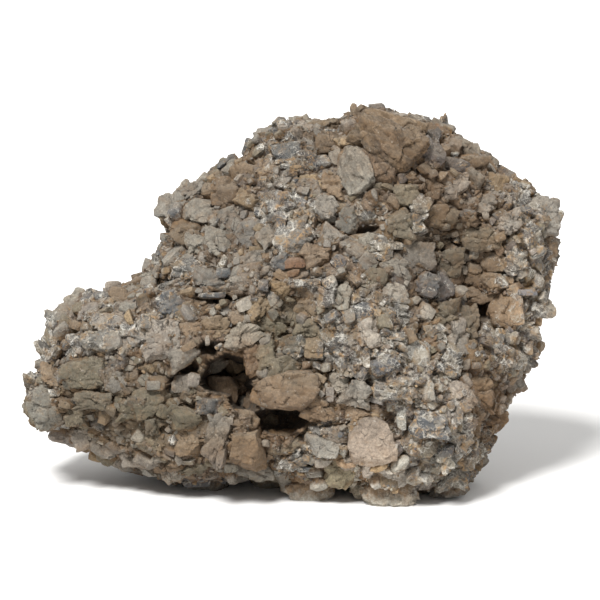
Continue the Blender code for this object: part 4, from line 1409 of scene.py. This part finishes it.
def breccia(name, grain_mm, bump_mm):
    """Each layer mixed over or multiplied with the one below, and height as a sum of products."""
    material = bpy.data.materials.new(name)
    material.use_nodes = True
    tree = material.node_tree
    shader = tree.nodes["Principled BSDF"]
    shader.inputs["IOR"].default_value = STONE_IOR

    stored = {}
    for layer, output in (("tint", "Color"), ("crust", "Fac"), ("clay_and_shade", "Fac"), ("grooved", "Fac")):
        stored[layer] = add_node(tree, "ShaderNodeAttribute", (), output, attribute_name=layer)
    place = add_node(tree, "ShaderNodeTexCoord", (), "Object")
    sway = add_node(tree, NOISE, {"Vector": place, **BEND}, "Color")
    sway = add_node(tree, "ShaderNodeVectorMath", {0: sway, "Scale": BEND_MM * MM}, operation="SCALE")
    bent = add_node(tree, "ShaderNodeVectorMath", (place, sway), operation="ADD")
    amount = add_patterns(tree, place, bent, grain_mm)
    grooves = groove_noise(tree, bent)

    amounts = {}
    # The clay layer: clay colour, and on the stones painted shade where they sink in.
    for layer, edge, spread in (("clay_and_shade", "clay edge", CLAY_FROM), ("crust", "lime edge", LIME_FROM)):
        ragged = add_node(tree, MATHS, (stored[layer], amount[edge]), operation="ADD")
        amounts[layer] = add_node(tree, RANGE, (ragged, *spread))
    vein = amount["wide veins"]
    steps = (("MAXIMUM", "thin veins"), ("MULTIPLY", "vein parts"), ("MAXIMUM", "powder"))
    for operation, other in steps:
        vein = add_node(tree, MATHS, (vein, amount[other]), operation=operation)
    split = add_node(tree, MATHS, (amount["splits"], amount["split parts"]), operation="MULTIPLY")
    split_shade = add_node(tree, MATHS, (split, SPLIT_DARK), operation="MULTIPLY")
    groove_shade = add_node(tree, RANGE, (grooves, *GROOVE_SHADES))
    two_tone = {}
    for layer, (first, second) in (("clay colour", CLAY_COLOURS), ("lime colour", LIME_COLOURS)):
        mix = {0: amount[layer], 6: colour4(first), 7: colour4(second)}
        two_tone[layer] = add_node(tree, MIX, mix, 2, data_type="RGBA")

    clay_layers = (
        ("MULTIPLY", 1.0, amount["weathering"]), ("MULTIPLY", 1.0, amount["grain"]),
        ("MIX", amount["iron"], colour4(IRON)), ("MIX", amounts["clay_and_shade"], two_tone["clay colour"]),
    )
    colour = stored["tint"]
    for mode, share, over in clay_layers:
        mix = {0: share, 6: colour, 7: over}
        colour = add_node(tree, MIX, mix, 2, data_type="RGBA", blend_type=mode)
    crust = chip_colours(tree, bent)
    for share, over in ((CHIPS_SHOW_BELOW, colour), (vein, two_tone["lime colour"])):
        crust = add_node(tree, MIX, {0: share, 6: crust, 7: over}, 2, data_type="RGBA")
    upper_layers = (
        ("MIX", amounts["crust"], crust), ("MIX", amount["specks"], colour4(SPECK)),
        ("MIX", split_shade, colour4(SPLIT)), ("MULTIPLY", stored["grooved"], groove_shade),
    )
    for mode, share, over in upper_layers:
        mix = {0: share, 6: colour, 7: over}
        colour = add_node(tree, MIX, mix, 2, data_type="RGBA", blend_type=mode)

    height = add_node(tree, NOISE, {"Vector": place, **RELIEF})
    raised = (
        (vein, amounts["crust"], VEIN_HEIGHT), (split, 1.0, SPLIT_HEIGHT),
        (grooves, stored["grooved"], GROOVE_HEIGHT),
    )
    for first, second, strength in raised:
        product = add_node(tree, MATHS, (first, second), operation="MULTIPLY")
        height = add_node(tree, MATHS, (product, strength, height), operation="MULTIPLY_ADD")
    bump = {"Height": height, "Distance": bump_mm * MM, "Strength": 1.0}
    tree.links.new(colour, shader.inputs["Base Color"])
    tree.links.new(amount["matteness"], shader.inputs["Roughness"])
    tree.links.new(add_node(tree, "ShaderNodeBump", bump), shader.inputs["Normal"])
    return material


stone_finish = breccia("limestone and slate", 1.1, 1.3)
packed_finish = breccia("clay packed with broken stone", 0.9, 1.5)
for piece in rock_pieces:
    piece.data.materials.append(packed_finish if piece.name.startswith("ground_") else stone_finish)
    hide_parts("rock")
    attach(piece, "root")
print(len(rock_pieces), "pieces of rock, each with", len(stone_finish.node_tree.nodes), "nodes")

# %% [markdown]
# ## Floor, light and camera
#
# A studio: pale floor, one wide soft light from above and in front, a weak and still wider one
# from behind, and an even white sky, so the shadows are soft and lie just below each stone. The camera
# stands three metres off with a long lens, so a millimetre is nearly the same size on the near and the
# far stones.

# %% The studio
FLOOR_SIZE = 8.0
FLOOR_WHITE = "#e6e5e3"
PAPER_ROUGHNESS = 0.9
KEY_FROM, KEY_ANGLE, KEY_STRENGTH = (-0.35, -0.75, 1.0), math.radians(18), 5.5
FILL_FROM, FILL_ANGLE, FILL_STRENGTH = (0.5, 0.9, 0.7), math.radians(60), 1.2
SKY_STRENGTH = 0.50


def studio_floor():
    """A plain square of matte paper."""
    bpy.ops.mesh.primitive_plane_add(size=FLOOR_SIZE)
    floor = bpy.context.object
    floor.name = "floor"
    material = bpy.data.materials.new("matte paper")
    material.use_nodes = True
    shader = material.node_tree.nodes["Principled BSDF"]
    shader.inputs["Base Color"].default_value = colour4(FLOOR_WHITE)
    shader.inputs["Roughness"].default_value = PAPER_ROUGHNESS
    floor.data.materials.append(material)


def soft_sun(name, toward, angle, strength):
    """A distant light as wide as a big soft box, so the floor is as bright far off as it is near."""
    data = bpy.data.lights.new(name, "SUN")
    data.angle = angle
    data.energy = strength
    lamp = bpy.data.objects.new(name, data)
    lamp.rotation_euler = Vector(toward).to_track_quat("Z", "Y").to_euler()
    bpy.context.scene.collection.objects.link(lamp)


def white_sky(strength):
    """An even white world."""
    world = bpy.data.worlds.new("studio sky")
    world.use_nodes = True
    background = world.node_tree.nodes["Background"]
    background.inputs["Color"].default_value = (1.0, 1.0, 1.0, 1.0)
    background.inputs["Strength"].default_value = strength
    bpy.context.scene.world = world


studio_floor()
soft_sun("key", KEY_FROM, KEY_ANGLE, KEY_STRENGTH)
soft_sun("fill from behind", FILL_FROM, FILL_ANGLE, FILL_STRENGTH)
white_sky(SKY_STRENGTH)
bpy.context.scene.view_settings.view_transform = "Standard"
print("a floor of", FLOOR_SIZE, "metres and two soft lights")

# %% The camera
FRAME_CENTRE = (0.0, 100.0)
CAMERA_FAR = 3000.0
LENS_MM = 360.0
SENSOR_MM = 36.0
CLIP_END = 20.0


def stand_camera():
    """Looks at the picture plane's middle along the depth axis."""
    target = Vector(to_frame(np.array([*FRAME_CENTRE, 0.0])))
    eye = Vector(to_frame(np.array([*FRAME_CENTRE, CAMERA_FAR])))
    data = bpy.data.cameras.new("camera")
    data.lens = LENS_MM
    data.sensor_width = SENSOR_MM
    data.clip_end = CLIP_END
    camera = bpy.data.objects.new("camera", data)
    camera.location = eye
    camera.rotation_euler = (target - eye).to_track_quat("-Z", "Y").to_euler()
    bpy.context.scene.collection.objects.link(camera)
    bpy.context.scene.camera = camera
    print("camera at", [round(value, 3) for value in eye])


stand_camera()
